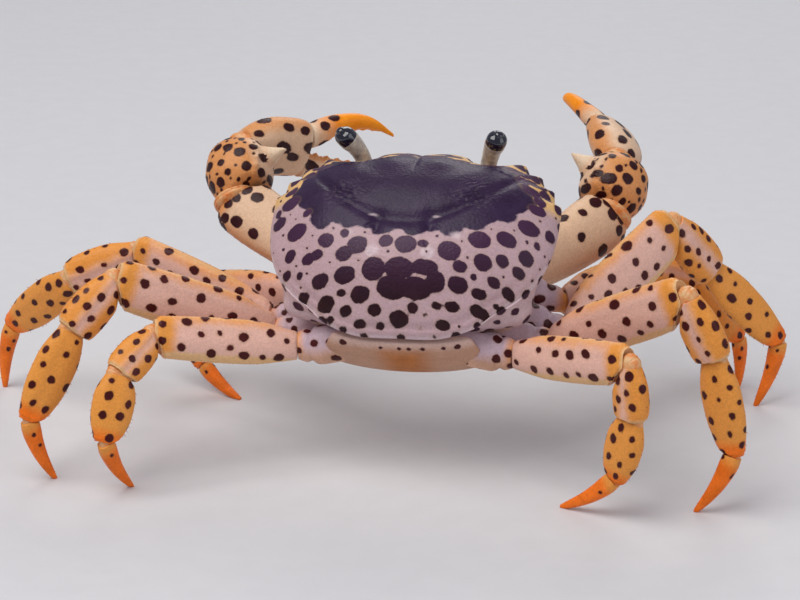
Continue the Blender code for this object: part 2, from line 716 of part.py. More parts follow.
def cut_clear(piece, cutters):
    for cutter in cutters:
        modifier = piece.modifiers.new("clearance", "BOOLEAN")
        modifier.operation = "DIFFERENCE"
        modifier.solver = "EXACT"
        modifier.object = cutter
    apply_modifiers(piece)


def centre_on_floor():
    bpy.context.view_layer.update()
    spots = [piece.matrix_world @ vertex.co
             for piece in PARTS.objects if piece.type == "MESH" for vertex in piece.data.vertices]
    middle_x = (min(spot.x for spot in spots) + max(spot.x for spot in spots)) / 2
    middle_y = (min(spot.y for spot in spots) + max(spot.y for spot in spots)) / 2
    ROOT.location = (-middle_x, -middle_y, 0.0)
    bpy.context.view_layer.update()


def build_crab():
    body = body_matrix()
    carapace = build_carapace(body)
    thorax = build_thorax(body)
    pleon = build_pleon(body)
    limbs = []
    for side_name in ("left", "right"):
        limbs.append(build_claw(side_name, body))
        for kind in ("leg1", "leg2", "leg3", "leg4"):
            limbs.append(build_leg(kind, side_name, body))
        limbs += build_face(side_name, body)
    bpy.context.view_layer.update()
    shell_cutters = [grown_copy(carapace), grown_copy(thorax)]
    cut_clear(pleon, shell_cutters)
    body_cutters = shell_cutters + [grown_copy(pleon)]
    for limb in limbs:
        cut_clear(limb, body_cutters)
    centre_on_floor()


clear_scene()
PARTS = bpy.data.collections.new(PARTS_NAME)
CUTTERS = bpy.data.collections.new(CUTTERS_NAME)
bpy.context.scene.collection.children.link(PARTS)
bpy.context.scene.collection.children.link(CUTTERS)
MATERIALS = {name: make_material(name) for name in COLOURS}
ROOT = bpy.data.objects.new("crab_root", None)
PARTS.objects.link(ROOT)
build_crab()
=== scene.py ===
"""Dresses the solids of a panther crab with its shell, claws, eyes, joint skin and bristles.

The body is drawn in its own frame, x to its right, y to its head and z up from its back.
Lengths are in millimetres inside the functions, and meshes are made in metres.
"""

import json
import math
import random

import bpy
import numpy as np
from mathutils import Matrix, Vector

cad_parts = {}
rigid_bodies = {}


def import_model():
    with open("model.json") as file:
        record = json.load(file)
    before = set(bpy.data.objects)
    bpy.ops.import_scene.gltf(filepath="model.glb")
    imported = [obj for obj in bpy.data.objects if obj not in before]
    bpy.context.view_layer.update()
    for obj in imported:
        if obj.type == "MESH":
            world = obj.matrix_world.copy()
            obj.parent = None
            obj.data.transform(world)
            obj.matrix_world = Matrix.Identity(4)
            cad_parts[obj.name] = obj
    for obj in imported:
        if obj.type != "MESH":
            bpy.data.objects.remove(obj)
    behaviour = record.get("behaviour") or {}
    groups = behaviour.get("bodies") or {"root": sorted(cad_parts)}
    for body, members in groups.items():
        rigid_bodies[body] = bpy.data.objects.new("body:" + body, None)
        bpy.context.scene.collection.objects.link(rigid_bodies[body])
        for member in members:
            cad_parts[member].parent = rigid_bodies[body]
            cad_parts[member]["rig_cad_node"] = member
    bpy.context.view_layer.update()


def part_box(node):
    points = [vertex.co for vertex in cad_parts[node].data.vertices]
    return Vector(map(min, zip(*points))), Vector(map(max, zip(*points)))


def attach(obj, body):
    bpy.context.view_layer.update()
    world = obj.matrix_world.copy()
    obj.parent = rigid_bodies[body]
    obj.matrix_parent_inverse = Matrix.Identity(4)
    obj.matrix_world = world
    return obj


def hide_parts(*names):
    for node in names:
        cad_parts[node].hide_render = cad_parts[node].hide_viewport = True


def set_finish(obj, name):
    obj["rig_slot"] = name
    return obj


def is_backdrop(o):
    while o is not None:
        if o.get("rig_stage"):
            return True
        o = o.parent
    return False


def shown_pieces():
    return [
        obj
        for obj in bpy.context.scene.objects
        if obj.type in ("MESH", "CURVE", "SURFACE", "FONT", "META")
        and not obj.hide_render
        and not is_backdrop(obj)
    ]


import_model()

bl_info = {
    "name": "Panther Crab",
    "version": (1, 0, 0),
    "blender": (4, 5, 0),
    "location": "3D View > Sidebar > Crab",
    "description": "Builds the spotted shell, claws, legs, eyes and bristles of a panther crab",
    "category": "Object",
}

MM = 0.001
SIDES = {"left": -1, "right": 1}

# Half of the gap between two pieces of a limb
HALF_GAP = 0.15
# Values of a distance field, in millimetres, where none of its patch is near and where it covers all
FAR = 6.0
COVERED = -3.0

# Body pose, as in the solids
BODY_PLACE = (-1.5, 0.0, 41.3)
BODY_PITCH = 37.5
BODY_ROLL = -2.0
BODY_YAW = -10.0

# Carapace: top of the back, foot of the wall, and the curve of the dome with its middle moved forward
SHELL_TOP = 9.0
SHELL_BOTTOM = -7.0
DOME_BELLY = 2.5
DOME_EDGE = 0.72
DOME_SHIFT = 1.5
# How far the margin sinks in front and behind, and the sill and the furrow along the rear edge
MARGIN_DROP = 1.5
REAR_SILL = 1.8
REAR_RIM = 0.4
# How far the wall draws in all round and in front, as parts, and is tucked back in front
WALL_INSET = 0.07
FRONT_INSET = 0.11
FRONT_TUCK = 2.4
# Swelling of the flanks: how far out, its middle and reach along and in height, and its lean to the rear
FLANK_FLARE = 4.6
FLANK_PLACE = (-14.0, 5.2)
FLANK_LEVEL = (-4.8, 3.2)
FLANK_LAG = 0.25
# Steps between two points of the margin, passes that smooth its teeth away, and rows of back and wall
MARGIN_STEPS = 9
SOFT_PASSES = 290
SHELL_ROWS = 84
WALL_ROWS = 34

# Eye sockets, feeler pits and mouth frame in the front wall: distance from the middle and reach,
# level and reach, and depth, where a depth below zero is a ledge
FACE_DENTS = (
    (13.2, 3.6, -2.4, 1.5, 2.4), (13.2, 4.6, -4.8, 0.9, -1.1),
    (3.6, 2.6, -2.6, 1.2, 1.6), (0.0, 7.0, -5.2, 1.0, -1.0),
)

# Right half of the margin from the notch between the eyes to the middle of the rear edge.
# The last number is 1 at the points and notches of the teeth, which stay sharp.
MARGIN_HALF = (
    (0.0, 18.5, 0), (2.4, 19.3, 0), (5.4, 19.4, 0), (7.9, 18.7, 0), (9.4, 17.3, 0),
    (12.0, 16.5, 0), (14.8, 16.2, 0), (17.0, 16.5, 0), (18.6, 17.2, 1), (19.6, 14.8, 1),
    (21.8, 14.4, 1), (22.5, 11.9, 1), (24.3, 11.2, 1), (24.6, 8.7, 1), (25.9, 7.8, 1),
    (26.0, 4.4, 0), (25.8, 0.0, 0), (24.8, -4.8, 0), (22.7, -9.0, 0), (19.4, -12.4, 0),
    (16.0, -15.0, 0), (12.8, -17.8, 0), (7.4, -19.8, 0), (0.0, -20.0, 0),
)

# Swellings on the back, each mirrored: middle, reach across and along, height
SHELL_SWELLINGS = (
    (4.2, 12.5, 3.2, 2.4, 0.55),
    (0.0, 5.5, 8.0, 4.5, 0.45),
    (16.0, 0.0, 6.5, 9.0, 0.70),
    (0.0, -8.0, 5.5, 4.0, 0.45),
)
# Crumpled patches of the back, each mirrored: middle, reach across and along, height
CRUMPLES = ((12.0, 4.2, 3.4, 2.2, 0.38), (4.8, -7.8, 1.7, 1.1, 0.28), (9.5, -4.2, 1.6, 0.9, 0.18))
# Groove behind the stomach: place along, bend, reach and depth
NECK_GROOVE = (-1.8, 0.035, 1.3, 0.60)
# Grooves beside the heart: middle, reach across and along, depth
HEART_GROOVE = (4.6, -2.5, 1.1, 3.2, 0.50)
# Crest behind each eye: place along, bend, reach and height
BROW_CREST = (14.6, 0.012, 0.35, 0.28)
# Furrow in the middle of the front: reach and depth
FRONT_FURROW = (0.5, 0.30)
# Ring-shaped muscle pits: middle, radius, reach and depth
MUSCLE_PITS = (5.6, -3.6, 0.9, 0.35, 0.22)
# Pale glints painted on the creased back where it catches the light, each mirrored: middle, shrink across and
# along, radius
CREASE_GLINTS = ((5.6, -0.6, 0.6, 1.9, 0.32), (4.9, -7.9, 1.0, 1.2, 1.25), (9.6, -4.4, 0.6, 1.0, 0.5))

# Straw-coloured border along the front edge: its width, and how much narrower it gets to the sides
BORDER_WIDTH = 7.0
BORDER_NARROWING = 1.2
# Dark field over the front of the back: its rear border in the middle, and the lobes along it
FIELD_REAR = -4.4
FIELD_LOBES = (
    (-14.6, -0.6, 2.7), (-9.6, -1.4, 2.2), (-3.4, -2.6, 2.4), (2.2, -2.8, 2.3), (8.4, -2.2, 2.4),
    (12.6, -0.8, 2.3), (17.2, 1.6, 2.1), (-18.6, 4.4, 1.8), (21.0, 6.0, 2.0),
)

# Spots of the back: place across and along, half width and half length. The middle ones run together.
BACK_SPOTS = (
    (-22.0, 4.0, 1.9, 1.5), (-24.3, 3.0, 0.7, 0.9), (-18.0, 0.4, 0.9, 0.8), (-23.8, 0.6, 1.4, 1.4),
    (-19.6, -2.8, 2.0, 1.6), (-13.6, -5.6, 1.5, 1.3), (-10.2, -4.6, 0.9, 0.8), (-20.4, -6.8, 1.1, 1.1),
    (-16.8, -8.2, 1.2, 1.0), (-15.0, -7.8, 1.2, 0.9), (-10.0, -8.2, 1.6, 1.3), (-7.6, -6.8, 1.8, 1.6),
    (-18.4, -10.4, 0.6, 0.6), (-21.0, -9.6, 0.9, 0.8), (-14.2, -12.0, 1.6, 1.2), (-9.6, -11.6, 2.0, 1.4),
    (-17.6, -13.6, 1.2, 0.9), (-13.0, -15.4, 1.7, 1.2), (-10.2, -14.2, 0.9, 0.6), (-9.2, -16.8, 1.2, 0.8),
    (-6.6, -14.6, 1.8, 1.3), (-4.0, -16.8, 1.3, 0.9), (-6.6, -18.6, 1.2, 0.6), (-3.0, -18.8, 0.8, 0.5),
    (0.4, -17.8, 1.7, 1.1), (2.8, -16.4, 1.0, 0.8), (-12.0, -17.6, 0.7, 0.5), (-4.4, -10.9, 2.1, 1.9),
    (0.2, -10.8, 2.7, 1.7), (4.6, -10.4, 2.4, 1.3), (-0.8, -13.6, 2.9, 1.8), (3.2, -13.6, 2.8, 1.7),
    (6.6, -12.4, 1.7, 1.6), (10.4, -12.4, 1.8, 1.3), (-2.6, -6.2, 1.3, 1.2), (1.0, -6.8, 1.9, 1.6),
    (4.0, -6.4, 0.9, 0.8), (8.6, -7.2, 2.0, 1.7), (13.6, -4.6, 2.0, 1.5), (18.0, -3.4, 1.7, 1.4),
    (21.4, 0.2, 1.8, 1.5), (22.4, 4.4, 1.5, 1.1), (24.8, 0.4, 0.8, 1.2), (23.0, -2.4, 0.6, 0.7),
    (21.4, -5.4, 1.3, 1.4), (14.4, -8.2, 1.6, 1.4), (17.6, -7.2, 1.1, 1.1), (10.6, -9.6, 1.3, 1.0),
    (20.4, -8.2, 1.1, 1.0), (16.4, -10.8, 1.1, 0.9), (13.0, -10.8, 0.5, 0.5), (18.8, -11.6, 1.0, 0.9),
    (14.0, -13.0, 1.4, 0.8), (14.2, -15.4, 1.7, 0.9), (16.8, -13.8, 0.5, 0.4), (8.0, -18.2, 1.3, 0.7),
    (9.6, -15.6, 1.4, 0.8), (7.0, -15.8, 1.0, 0.6), (5.0, -17.2, 0.5, 0.3), (4.0, -18.8, 0.4, 0.3),
    (-22.4, 7.2, 1.2, 1.0),
)

# Thorax: level, then the part kept of the width, of the front and of the rear
THORAX_RINGS = (
    (-7.3, 0.97, 0.95, 0.98), (-9.2, 0.93, 0.93, 0.97), (-11.4, 0.84, 0.85, 0.95),
    (-13.4, 0.74, 0.74, 0.92), (-15.0, 0.62, 0.62, 0.88), (-15.8, 0.49, 0.48, 0.80),
)

# Seams between the plates of the thorax, from front to rear
THORAX_SEAMS = (7.6, 0.6, -6.4, -13.2)

# Pleon: place to the rear, height and half width along it from its root to its tip
PLEON_PATH = (
    (-19.3, -3.1, 12.4), (-19.8, -6.0, 13.6), (-19.7, -9.2, 14.0), (-18.7, -12.2, 14.0),
    (-16.4, -15.4, 13.8), (-12.2, -17.3, 13.2), (-7.0, -17.7, 12.0), (-1.5, -17.4, 10.0),
    (3.0, -17.0, 7.0), (6.4, -16.6, 2.8),
)
PLEON_SEGMENTS = 7
PLEON_THICK = 2.0
PLEON_ARCH = 1.3
PLEON_SIDES = 96
# Dark dots on the first segment: their row, then the place across and the radius of each
PLEON_DOT_ROW = 4
PLEON_DOTS = ((-10.0, 0.7), (-3.0, 0.35), (-0.4, 0.4), (1.8, 0.4), (4.2, 0.5), (7.7, 0.4), (10.2, 0.6))

# Where each limb leaves the body, front to rear, and where the hips of the legs end
HIPS = {
    "claw": (14.2, 6.2, -13.6), "leg1": (19.6, 0.2, -15.4), "leg2": (20.4, -6.6, -14.8),
    "leg3": (19.2, -11.9, -12.7), "leg4": (14.8, -16.8, -9.3),
}
HIP_ENDS = {
    "leg1": (25.4, 0.2, -18.4), "leg2": (27.2, -7.2, -17.2), "leg3": (25.4, -12.2, -13.0),
    "leg4": (19.6, -17.4, -9.2),
}
# How deep in the body a hip starts, and how far up its way in leads
HIP_ROOT = 6.0
HIP_RISE = 0.25
LEG_KINDS = ("leg1", "leg2", "leg3", "leg4")
LEG_PARTS = ("merus", "carpus", "propodus", "dactylus")
CLAW_PARTS = ("hip", "arm", "wrist", "palm")

# Length, height and thickness of each walking leg's pieces; of the hip, height and thickness
LEG_SIZES = {
    "leg1": {"hip": (5.6, 4.4), "merus": (24.5, 7.8, 4.1), "carpus": (11.5, 6.8, 4.5),
             "propodus": (17.0, 6.4, 3.6), "dactylus": (10.5, 3.2, 2.6)},
    "leg2": {"hip": (6.2, 4.9), "merus": (30.4, 10.0, 4.4), "carpus": (13.5, 8.2, 4.7),
             "propodus": (21.0, 7.4, 3.8), "dactylus": (13.5, 3.5, 2.8)},
    "leg3": {"hip": (6.2, 4.9), "merus": (30.9, 9.2, 4.4), "carpus": (11.5, 7.6, 4.7),
             "propodus": (17.5, 7.4, 3.8), "dactylus": (12.5, 3.5, 2.8)},
    "leg4": {"hip": (6.6, 5.2), "merus": (26.0, 7.8, 4.2), "carpus": (9.5, 6.8, 4.4),
             "propodus": (12.0, 7.2, 3.6), "dactylus": (12.5, 3.3, 2.6)},
}

# Direction of each piece: angle forward from straight out, and angle above the level.
# The last piece has only its forward angle, since its foot reaches down to the floor.
LEG_POSES = {
    "leg1_left": ((41, -12), (46, -12), (215, -54), 219),
    "leg1_right": ((47, 1), (30, -21), (24, -51), 57),
    "leg2_left": ((27, 16), (0, -22), (40, -37), 33),
    "leg2_right": ((42, 28), (28, -48), (16, -47), 183),
    "leg3_left": ((-13, 22), (-33, -41), (-30, -60), 153),
    "leg3_right": ((-39, 27), (-15, -64), (-13, -77), 172),
    "leg4_left": ((-12, 8), (-48, -31), (-59, -67), 124),
    "leg4_right": ((-44, 10), (-34, -86), (147, -76), 150),
}

# Each row is a station along the piece, its height and its thickness, as parts of the full ones
LIMB_PROFILES = {
    "merus": ((0.0, 0.64, 0.80), (0.08, 0.74, 0.90), (0.28, 0.95, 1.0), (0.58, 1.0, 1.0),
              (0.86, 0.95, 1.0), (0.96, 0.92, 1.0), (1.0, 0.80, 0.88)),
    "carpus": ((0.0, 0.66, 0.76), (0.26, 0.90, 0.96), (0.60, 1.0, 1.0), (0.88, 0.94, 0.98),
               (1.0, 0.78, 0.84)),
    "propodus": ((0.0, 0.64, 0.80), (0.14, 0.84, 0.94), (0.38, 1.0, 1.0), (0.64, 0.96, 0.96),
                 (0.88, 0.74, 0.84), (1.0, 0.56, 0.72)),
    "dactylus": ((0.0, 0.90, 0.94), (0.12, 1.0, 1.0), (0.36, 0.86, 0.88), (0.62, 0.66, 0.70),
                 (0.84, 0.46, 0.52), (1.0, 0.26, 0.34)),
    "arm": ((0.0, 0.60, 0.74), (0.20, 0.76, 0.86), (0.50, 0.92, 1.0), (0.80, 1.0, 1.0),
            (0.94, 0.98, 0.98), (1.0, 0.86, 0.88)),
    "wrist": ((0.0, 0.62, 0.60), (0.16, 0.84, 0.82), (0.42, 1.0, 1.0), (0.70, 0.98, 0.98),
              (0.90, 0.80, 0.82), (1.0, 0.62, 0.64)),
}
# Gap, smallest and largest radius of a piece's spots, as parts of the ones in the settings
SPOT_SHARES = {
    "merus": (1.1, 1.1, 1.1), "carpus": (0.9, 1.0, 1.0), "propodus": (1.0, 1.0, 1.0),
    "arm": (1.45, 1.2, 1.15), "arm_end": (0.8, 1.5, 1.1), "wrist": (0.9, 1.0, 0.98),
    "palm": (1.3, 1.1, 1.1),
}
# The same, in millimetres, for the spots and flecks that no setting sizes
FOOT_SPOTS = (2.2, 0.3, 0.5)
HIP_SPOTS = (2.6, 0.5, 1.0)
CLAW_HIP_SPOTS = (2.8, 0.5, 0.9)
FIXED_FINGER_SPOTS = (2.4, 0.3, 0.5)
FINGER_SPOTS = (2.9, 0.8, 1.15)
BORDER_SPOTS = (2.6, 0.8, 1.3)
BACK_FLECKS = (2.4, 0.16, 0.34)
# Lanes of bristles round a leg piece, as parts of a turn, and how many stand in each
BRISTLE_LANES = {"carpus": ((0.25,), 4), "propodus": ((0.25, 0.74, 0.77), 6),
                 "dactylus": ((0.125, 0.375, 0.625, 0.875), 7)}
# How far the first and the last end of a piece bulge out or, below zero, sink in
LEG_BULGES = (0.25, -0.5)
FOOT_BULGES = (0.25, 0.0)
LEG_HIP_BULGES = (0.2, -0.3)
CLAW_BULGES = (0.4, -0.5)
TIP_BULGES = (0.4, 0.15)
# How square a limb is across, where 2 is an oval
LIMB_BULGE = 2.3
# How far a foot bows, as a part of its length
DACTYLUS_BOW = 0.05
# Least height above the floor of a foot behind its tip, and of a bristle's end
FOOT_CLEARANCE = 0.12
BRISTLE_CLEARANCE = 0.3
# How close together a slanting cut may squeeze the rings, as a part of even steps
BEND_SQUEEZE = 0.45
# Sides of the leg solids, one of which shows how far the crab was moved
CAD_LEG_SIDES = 10

# Sides round each kind of piece, rows along it, and rows for each millimetre of a limb's length
LEG_HIP_GRID = (44, 40)
CLAW_HIP_GRID = (48, 44)
LEG_SIDES = 56
FOOT_SIDES = 40
LEG_ROWS = 3.4
ARM_SIDES = 96
ARM_ROWS = 4.5
PALM_SIDES = 88
FINGER_GRID = (72, 104)
SKIN_GRID = (36, 25)
EYE_GRID = (48, 90)
FEELER_GRID = (24, 150)
MOUTH_GRID = (64, 96)
THORAX_ROWS = 44
PLEON_ROWS = 14

# Claws: length, height and thickness of the pieces up to the wrist, and their directions
CLAW_SIZES = {"hip": (7.0, 6.0, 5.6), "arm": (24.0, 11.6, 7.4), "wrist": (11.4, 12.6, 12.2)}
CLAW_POSES = {
    "claw_left": {"hip": (30, -35), "arm": (41, 21), "wrist": (98, 50), "palm": (138, -12),
                  "turn": -15, "gape": 17},
    "claw_right": {"hip": (30, -35), "arm": (48, 14), "wrist": (74, 48), "palm": (90, 7),
                   "turn": -50, "gape": 17},
}

# Palm with its fixed finger, and the moving finger: distance from the wrist,
# height of the middle, full height and thickness
PALM_STATIONS = (
    (0.0, 0.0, 6.6, 5.6), (2.0, 0.0, 9.2, 6.8), (5.5, 0.1, 11.4, 7.4), (10.0, 0.1, 12.0, 6.8),
    (14.3, 0.0, 11.0, 5.4), (14.8, -3.1, 5.4, 4.6), (19.0, -3.6, 4.2, 3.8), (24.0, -3.4, 3.3, 3.0),
    (28.4, -2.3, 2.1, 2.0), (31.2, -0.9, 0.8, 0.9),
)
FINGER_STATIONS = (
    (15.1, 2.8, 4.7, 4.0), (16.8, 3.2, 5.0, 4.2), (20.0, 4.2, 4.1, 3.6), (24.5, 4.5, 3.2, 2.9),
    (28.8, 3.4, 2.2, 2.0), (32.2, 0.9, 0.8, 0.9),
)
# Hinge of the moving finger: distance from the wrist and height
FINGER_HINGE = (15.4, 2.8)
# Length, height and thickness of the palm near the wrist, for the skin of that joint
PALM_ROOT = (10.0, 9.0, 7.0)
# How far the tips bend to the inner side, and where the bend starts
FINGERS_BEND = 5.0
BEND_START = 6.0
# Rows of the palm: from, to and how many, close together where it steps down to the fixed finger
PALM_ROWS = ((0.0, 14.3, 74), (14.35, 14.8, 7), (15.0, 31.2, 92))

# Teeth where the fingers meet: distance from the wrist and share of the full height
FIXED_TEETH = ((16.6, 0.6), (18.0, 1.0), (19.3, 0.5), (20.6, 0.95), (21.8, 0.45), (23.0, 0.9),
               (24.1, 0.4), (25.2, 0.8), (26.2, 0.35), (27.2, 0.6), (28.2, 0.3))
MOVING_TEETH = ((17.9, 0.6), (19.3, 1.0), (20.6, 0.5), (21.9, 0.95), (23.1, 0.45), (24.2, 0.9),
                (25.3, 0.4), (26.3, 0.7), (27.3, 0.35), (28.2, 0.55), (29.1, 0.3))

# Thorn on the inner side of each wrist: place along it, heading, radius and sharpness
THORN_STATION = 0.74
THORN_HEADING = (-1.0, 0.2, 0.9)
THORN_RADIUS = 2.5
THORN_POWER = 1.35
# Knobs beside the thorn: degrees round the wrist, full height, and the place and share of each
KNOB_TURN = 34
KNOB_HEIGHT = 1.5
KNOBS = ((0.30, 0.30), (0.46, 0.42), (0.60, 0.50))

# Eyes, feelers and mouth plates, in the body's frame
EYE_PATH = (
    (9.6, 12.2, -3.6), (11.0, 16.6, -2.6), (11.7, 18.2, -0.4), (12.3, 18.8, 1.8), (12.8, 19.1, 3.4),
    (13.3, 19.3, 4.9), (13.6, 19.4, 5.8),
)
EYE_RADII = (1.4, 1.5, 1.5, 1.65, 1.9, 1.75, 0.8)
EYE_LEAN = {"left": 1.5, "right": 0.4}
ANTENNA_PATH = (
    (7.0, 12.2, -4.0), (7.6, 16.8, -4.2), (8.4, 18.8, -4.8), (9.8, 20.4, -6.2), (11.4, 21.2, -8.2),
    (13.2, 21.4, -10.6),
)
ANTENNA_RADII = (1.0, 1.0, 0.62, 0.5, 0.4, 0.28)
ANTENNULE_PATH = (
    (2.6, 13.5, -3.0), (3.0, 16.2, -2.7), (3.9, 17.4, -2.0), (4.9, 18.0, -1.9), (5.8, 17.9, -2.6),
)
ANTENNULE_RADII = (0.8, 0.75, 0.5, 0.34, 0.16)
MOUTH_PATH = (
    (3.9, 15.4, -6.0), (4.2, 15.6, -7.2), (4.3, 15.2, -8.6), (4.3, 14.4, -9.3), (4.4, 13.6, -10.9),
    (4.2, 11.8, -12.8), (3.8, 9.4, -14.2),
)
MOUTH_HALF_WIDTHS = (2.0, 3.3, 3.7, 3.5, 3.9, 3.5, 2.4)
MOUTH_THICK = 2.4
# Depth of the cuts in a mouth plate, the groove's distance from its middle, and the suture's place along it
MOUTH_CUT = 0.35
MOUTH_GROOVE = 1.2
MOUTH_SUTURE = 0.45

# Joint skin: place along the joint and share of the pieces' thickness
SKIN_PROFILE = ((-1.5, 0.50), (-0.9, 0.62), (-0.35, 0.68), (0.0, 0.66), (0.35, 0.68), (0.9, 0.62),
                (1.5, 0.50))
# Size of the grains of each finish, as a part of the one in the settings
GRAIN_SIZES = {"shell": 1.0, "claw": 0.85, "limb": 0.7}
GRAIN_SQUASH = (1.0, 1.0, 0.6)
BRISTLE_TIP = 0.012

# Camera: what it looks at before the crab is centred on the floor
LOOK_AT = (-3.6, 0.0, 30.0)
# Width of the sensor in millimetres; nearest and farthest sight and half the floor in metres
SENSOR_WIDTH = 36.0
CLIP_RANGE = (0.01, 20.0)
FLOOR_HALF = 3.0
# Lights: name, place, the setting with the power and the share taken of it, width and colour
LIGHTS = (
    ("key_light", (-0.30, -0.25, 0.75), "key_power", 1.0, 0.65, (1.0, 0.98, 0.95)),
    ("fill_light", (0.70, -0.45, 0.35), "fill_power", 1.0, 0.60, (0.92, 0.95, 1.0)),
    ("back_light", (0.15, 0.75, 0.55), "fill_power", 1.3, 0.50, (1.0, 0.98, 0.94)),
)


def paint(red, green, blue):
    """A colour as Blender's shaders take it, from screen values of 0 to 255."""
    steps = (value / 255 for value in (red, green, blue))
    return tuple(step / 12.92 if step <= 0.04045 else ((step + 0.055) / 1.055) ** 2.4 for step in steps)


def colour_property(name, description, default):
    return bpy.props.FloatVectorProperty(name=name, description=description, default=default,
                                         size=3, min=0.0, max=1.0, subtype="COLOR")


def number_property(name, description, default, highest, lowest=0.0, **more):
    return bpy.props.FloatProperty(name=name, description=description, default=default, min=lowest,
                                   max=highest, **more)


def length_property(name, description, default, highest):
    return number_property(name, description, default * MM, highest * MM, precision=5,
                           subtype="DISTANCE", unit="LENGTH")


class CrabShellSettings(bpy.types.PropertyGroup):
    """Sizes and colours of the carapace."""

    spot_gap: length_property("Spot gap", "Least distance between two spots on the flanks", 2.9, 12.0)
    spot_small: length_property("Small spot", "Radius of the smallest spots on the flanks", 0.6, 4.0)
    spot_large: length_property("Large spot", "Radius of the largest spots on the flanks", 1.0, 4.0)
    ground: colour_property("Ground", "Pale shell between the spots", paint(194, 161, 166))
    edge: colour_property("Edge", "Straw colour along the front edge", paint(222, 176, 116))
    field: colour_property("Field", "Dark slate field over the front", paint(42, 22, 52))
    # The rim colour also paints the pale glints on the creases of the back, as painted highlights
    rim: colour_property("Rim", "Whitish rear rim and scars", paint(206, 182, 186))
    spot: colour_property("Spots", "Brown-black spots", paint(36, 5, 14))
    slate: colour_property("Slate", "Plum tone of the spots near the field", paint(68, 36, 66))


class CrabLimbSettings(bpy.types.PropertyGroup):
    """Sizes and colours of the walking legs."""

    spot_gap: length_property("Spot gap", "Least distance between two spots on a leg", 2.9, 12.0)
    spot_small: length_property("Small spot", "Radius of the smallest spots on a leg", 0.42, 3.0)
    spot_large: length_property("Large spot", "Radius of the largest spots on a leg", 0.86, 3.0)
    ground: colour_property("Ground", "Rose-beige sides of the long pieces", paint(236, 186, 168))
    edge: colour_property("Edge", "Orange-yellow borders and outer pieces", paint(230, 150, 66))
    tip: colour_property("Tip", "Deep orange of the feet", paint(228, 108, 16))
    rim: colour_property("Rim", "Pale rims of the joints", paint(226, 180, 128))
    hip: colour_property("Hip", "Lavender-white of the short root pieces", paint(210, 182, 192))
    spot: colour_property("Spots", "Dark maroon spots", paint(64, 6, 6))


class CrabClawSettings(bpy.types.PropertyGroup):
    """Sizes and colours of the claws."""

    spot_gap: length_property("Spot gap", "Least distance between two spots on a claw", 2.9, 12.0)
    spot_small: length_property("Small spot", "Radius of the smallest spots on a claw", 0.55, 3.0)
    spot_large: length_property("Large spot", "Radius of the largest spots on a claw", 1.20, 3.0)
    tooth_height: length_property("Tooth height", "Height of the tallest finger teeth", 0.75, 3.0)
    thorn_length: length_property("Thorn length", "Length of the thorn on each wrist", 4.0, 8.0)
    ground: colour_property("Ground", "Cream of the arms and palms", paint(234, 194, 160))
    edge: colour_property("Edge", "Orange-tan of the wrists", paint(216, 146, 88))
    tip: colour_property("Tip", "Vivid orange of the fingers", paint(242, 138, 10))
    rim: colour_property("Rim", "Pale undersides and joint bands", paint(228, 200, 170))
    spot: colour_property("Spots", "Dark spots", paint(46, 4, 8))


class CrabBellySettings(bpy.types.PropertyGroup):
    """Colours of the underside and the joint skin."""

    plate: colour_property("Plates", "Tan plates of the underside", paint(196, 150, 124))
    pale: colour_property("Pale plates", "Pale first segment of the pleon", paint(214, 178, 164))
    blush: colour_property("Blush", "Orange-brown middle of the pleon", paint(172, 104, 50))
    seam: colour_property("Seams", "Brown seams between the plates", paint(120, 80, 56))
    skin: colour_property("Skin", "Soft skin in the joints", paint(222, 128, 58))


class CrabFaceSettings(bpy.types.PropertyGroup):
    """Colours of the eyes and feelers."""

    cornea: colour_property("Cornea", "Black-violet cap of the eye", paint(22, 16, 34))
    stalk: colour_property("Stalk", "Grey-cream eye stalk", paint(208, 196, 178))
    stripe: colour_property("Stripe", "Dusky tone on the stalk", paint(164, 148, 138))
    feeler: colour_property("Feeler", "Amber feelers", paint(198, 138, 80))


class CrabHairSettings(bpy.types.PropertyGroup):
    """Sizes of the bristles and grains."""

    bristle_length: length_property("Bristle length", "Length of a bristle on the feet", 0.6, 4.0)
    bristle_width: length_property("Bristle width", "Radius of a bristle at its root", 0.07, 0.5)
    grain_size: length_property("Grain size", "Radius of a shell grain", 0.16, 1.0)
    grain_count: number_property("Grain count", "Grains on a square millimetre at their densest", 1.5, 10.0)
    seed: bpy.props.IntProperty(name="Seed", description="Draw of the grains and bristles", default=7)


class CrabStageSettings(bpy.types.PropertyGroup):
    """Floor, lights and camera."""

    floor: colour_property("Floor", "Plain pale floor", paint(212, 210, 212))
    sky: colour_property("Sky", "Soft light from all round", paint(214, 222, 236))
    sky_power: number_property("Sky power", "Strength of the light from all round", 0.40, 5.0)
    key_power: number_property("Key power", "Power of the large soft light above", 5.6, 100.0, unit="POWER")
    fill_power: number_property("Fill power", "Power of the soft light at the side", 1.5, 100.0, unit="POWER")
    lens: number_property("Lens", "Focal length in millimetres", 120.9, 500.0, lowest=10.0)
    distance: length_property("Distance", "From the camera to the crab", 480.0, 5000.0)
    rise: number_property("Rise", "Angle of the camera above the level", math.radians(19.0), 1.5,
                          subtype="ANGLE")


# Meshes

def smooth_step(low, high, value):
    part = np.clip((np.asarray(value, float) - low) / (high - low), 0.0, 1.0)
    return part * part * (3.0 - 2.0 * part)


def hill(value, middle, reach):
    return np.exp(-((np.asarray(value, float) - middle) / reach) ** 2)


def unit(vectors):
    return vectors / np.maximum(np.linalg.norm(vectors, axis=-1, keepdims=True), 1e-6)


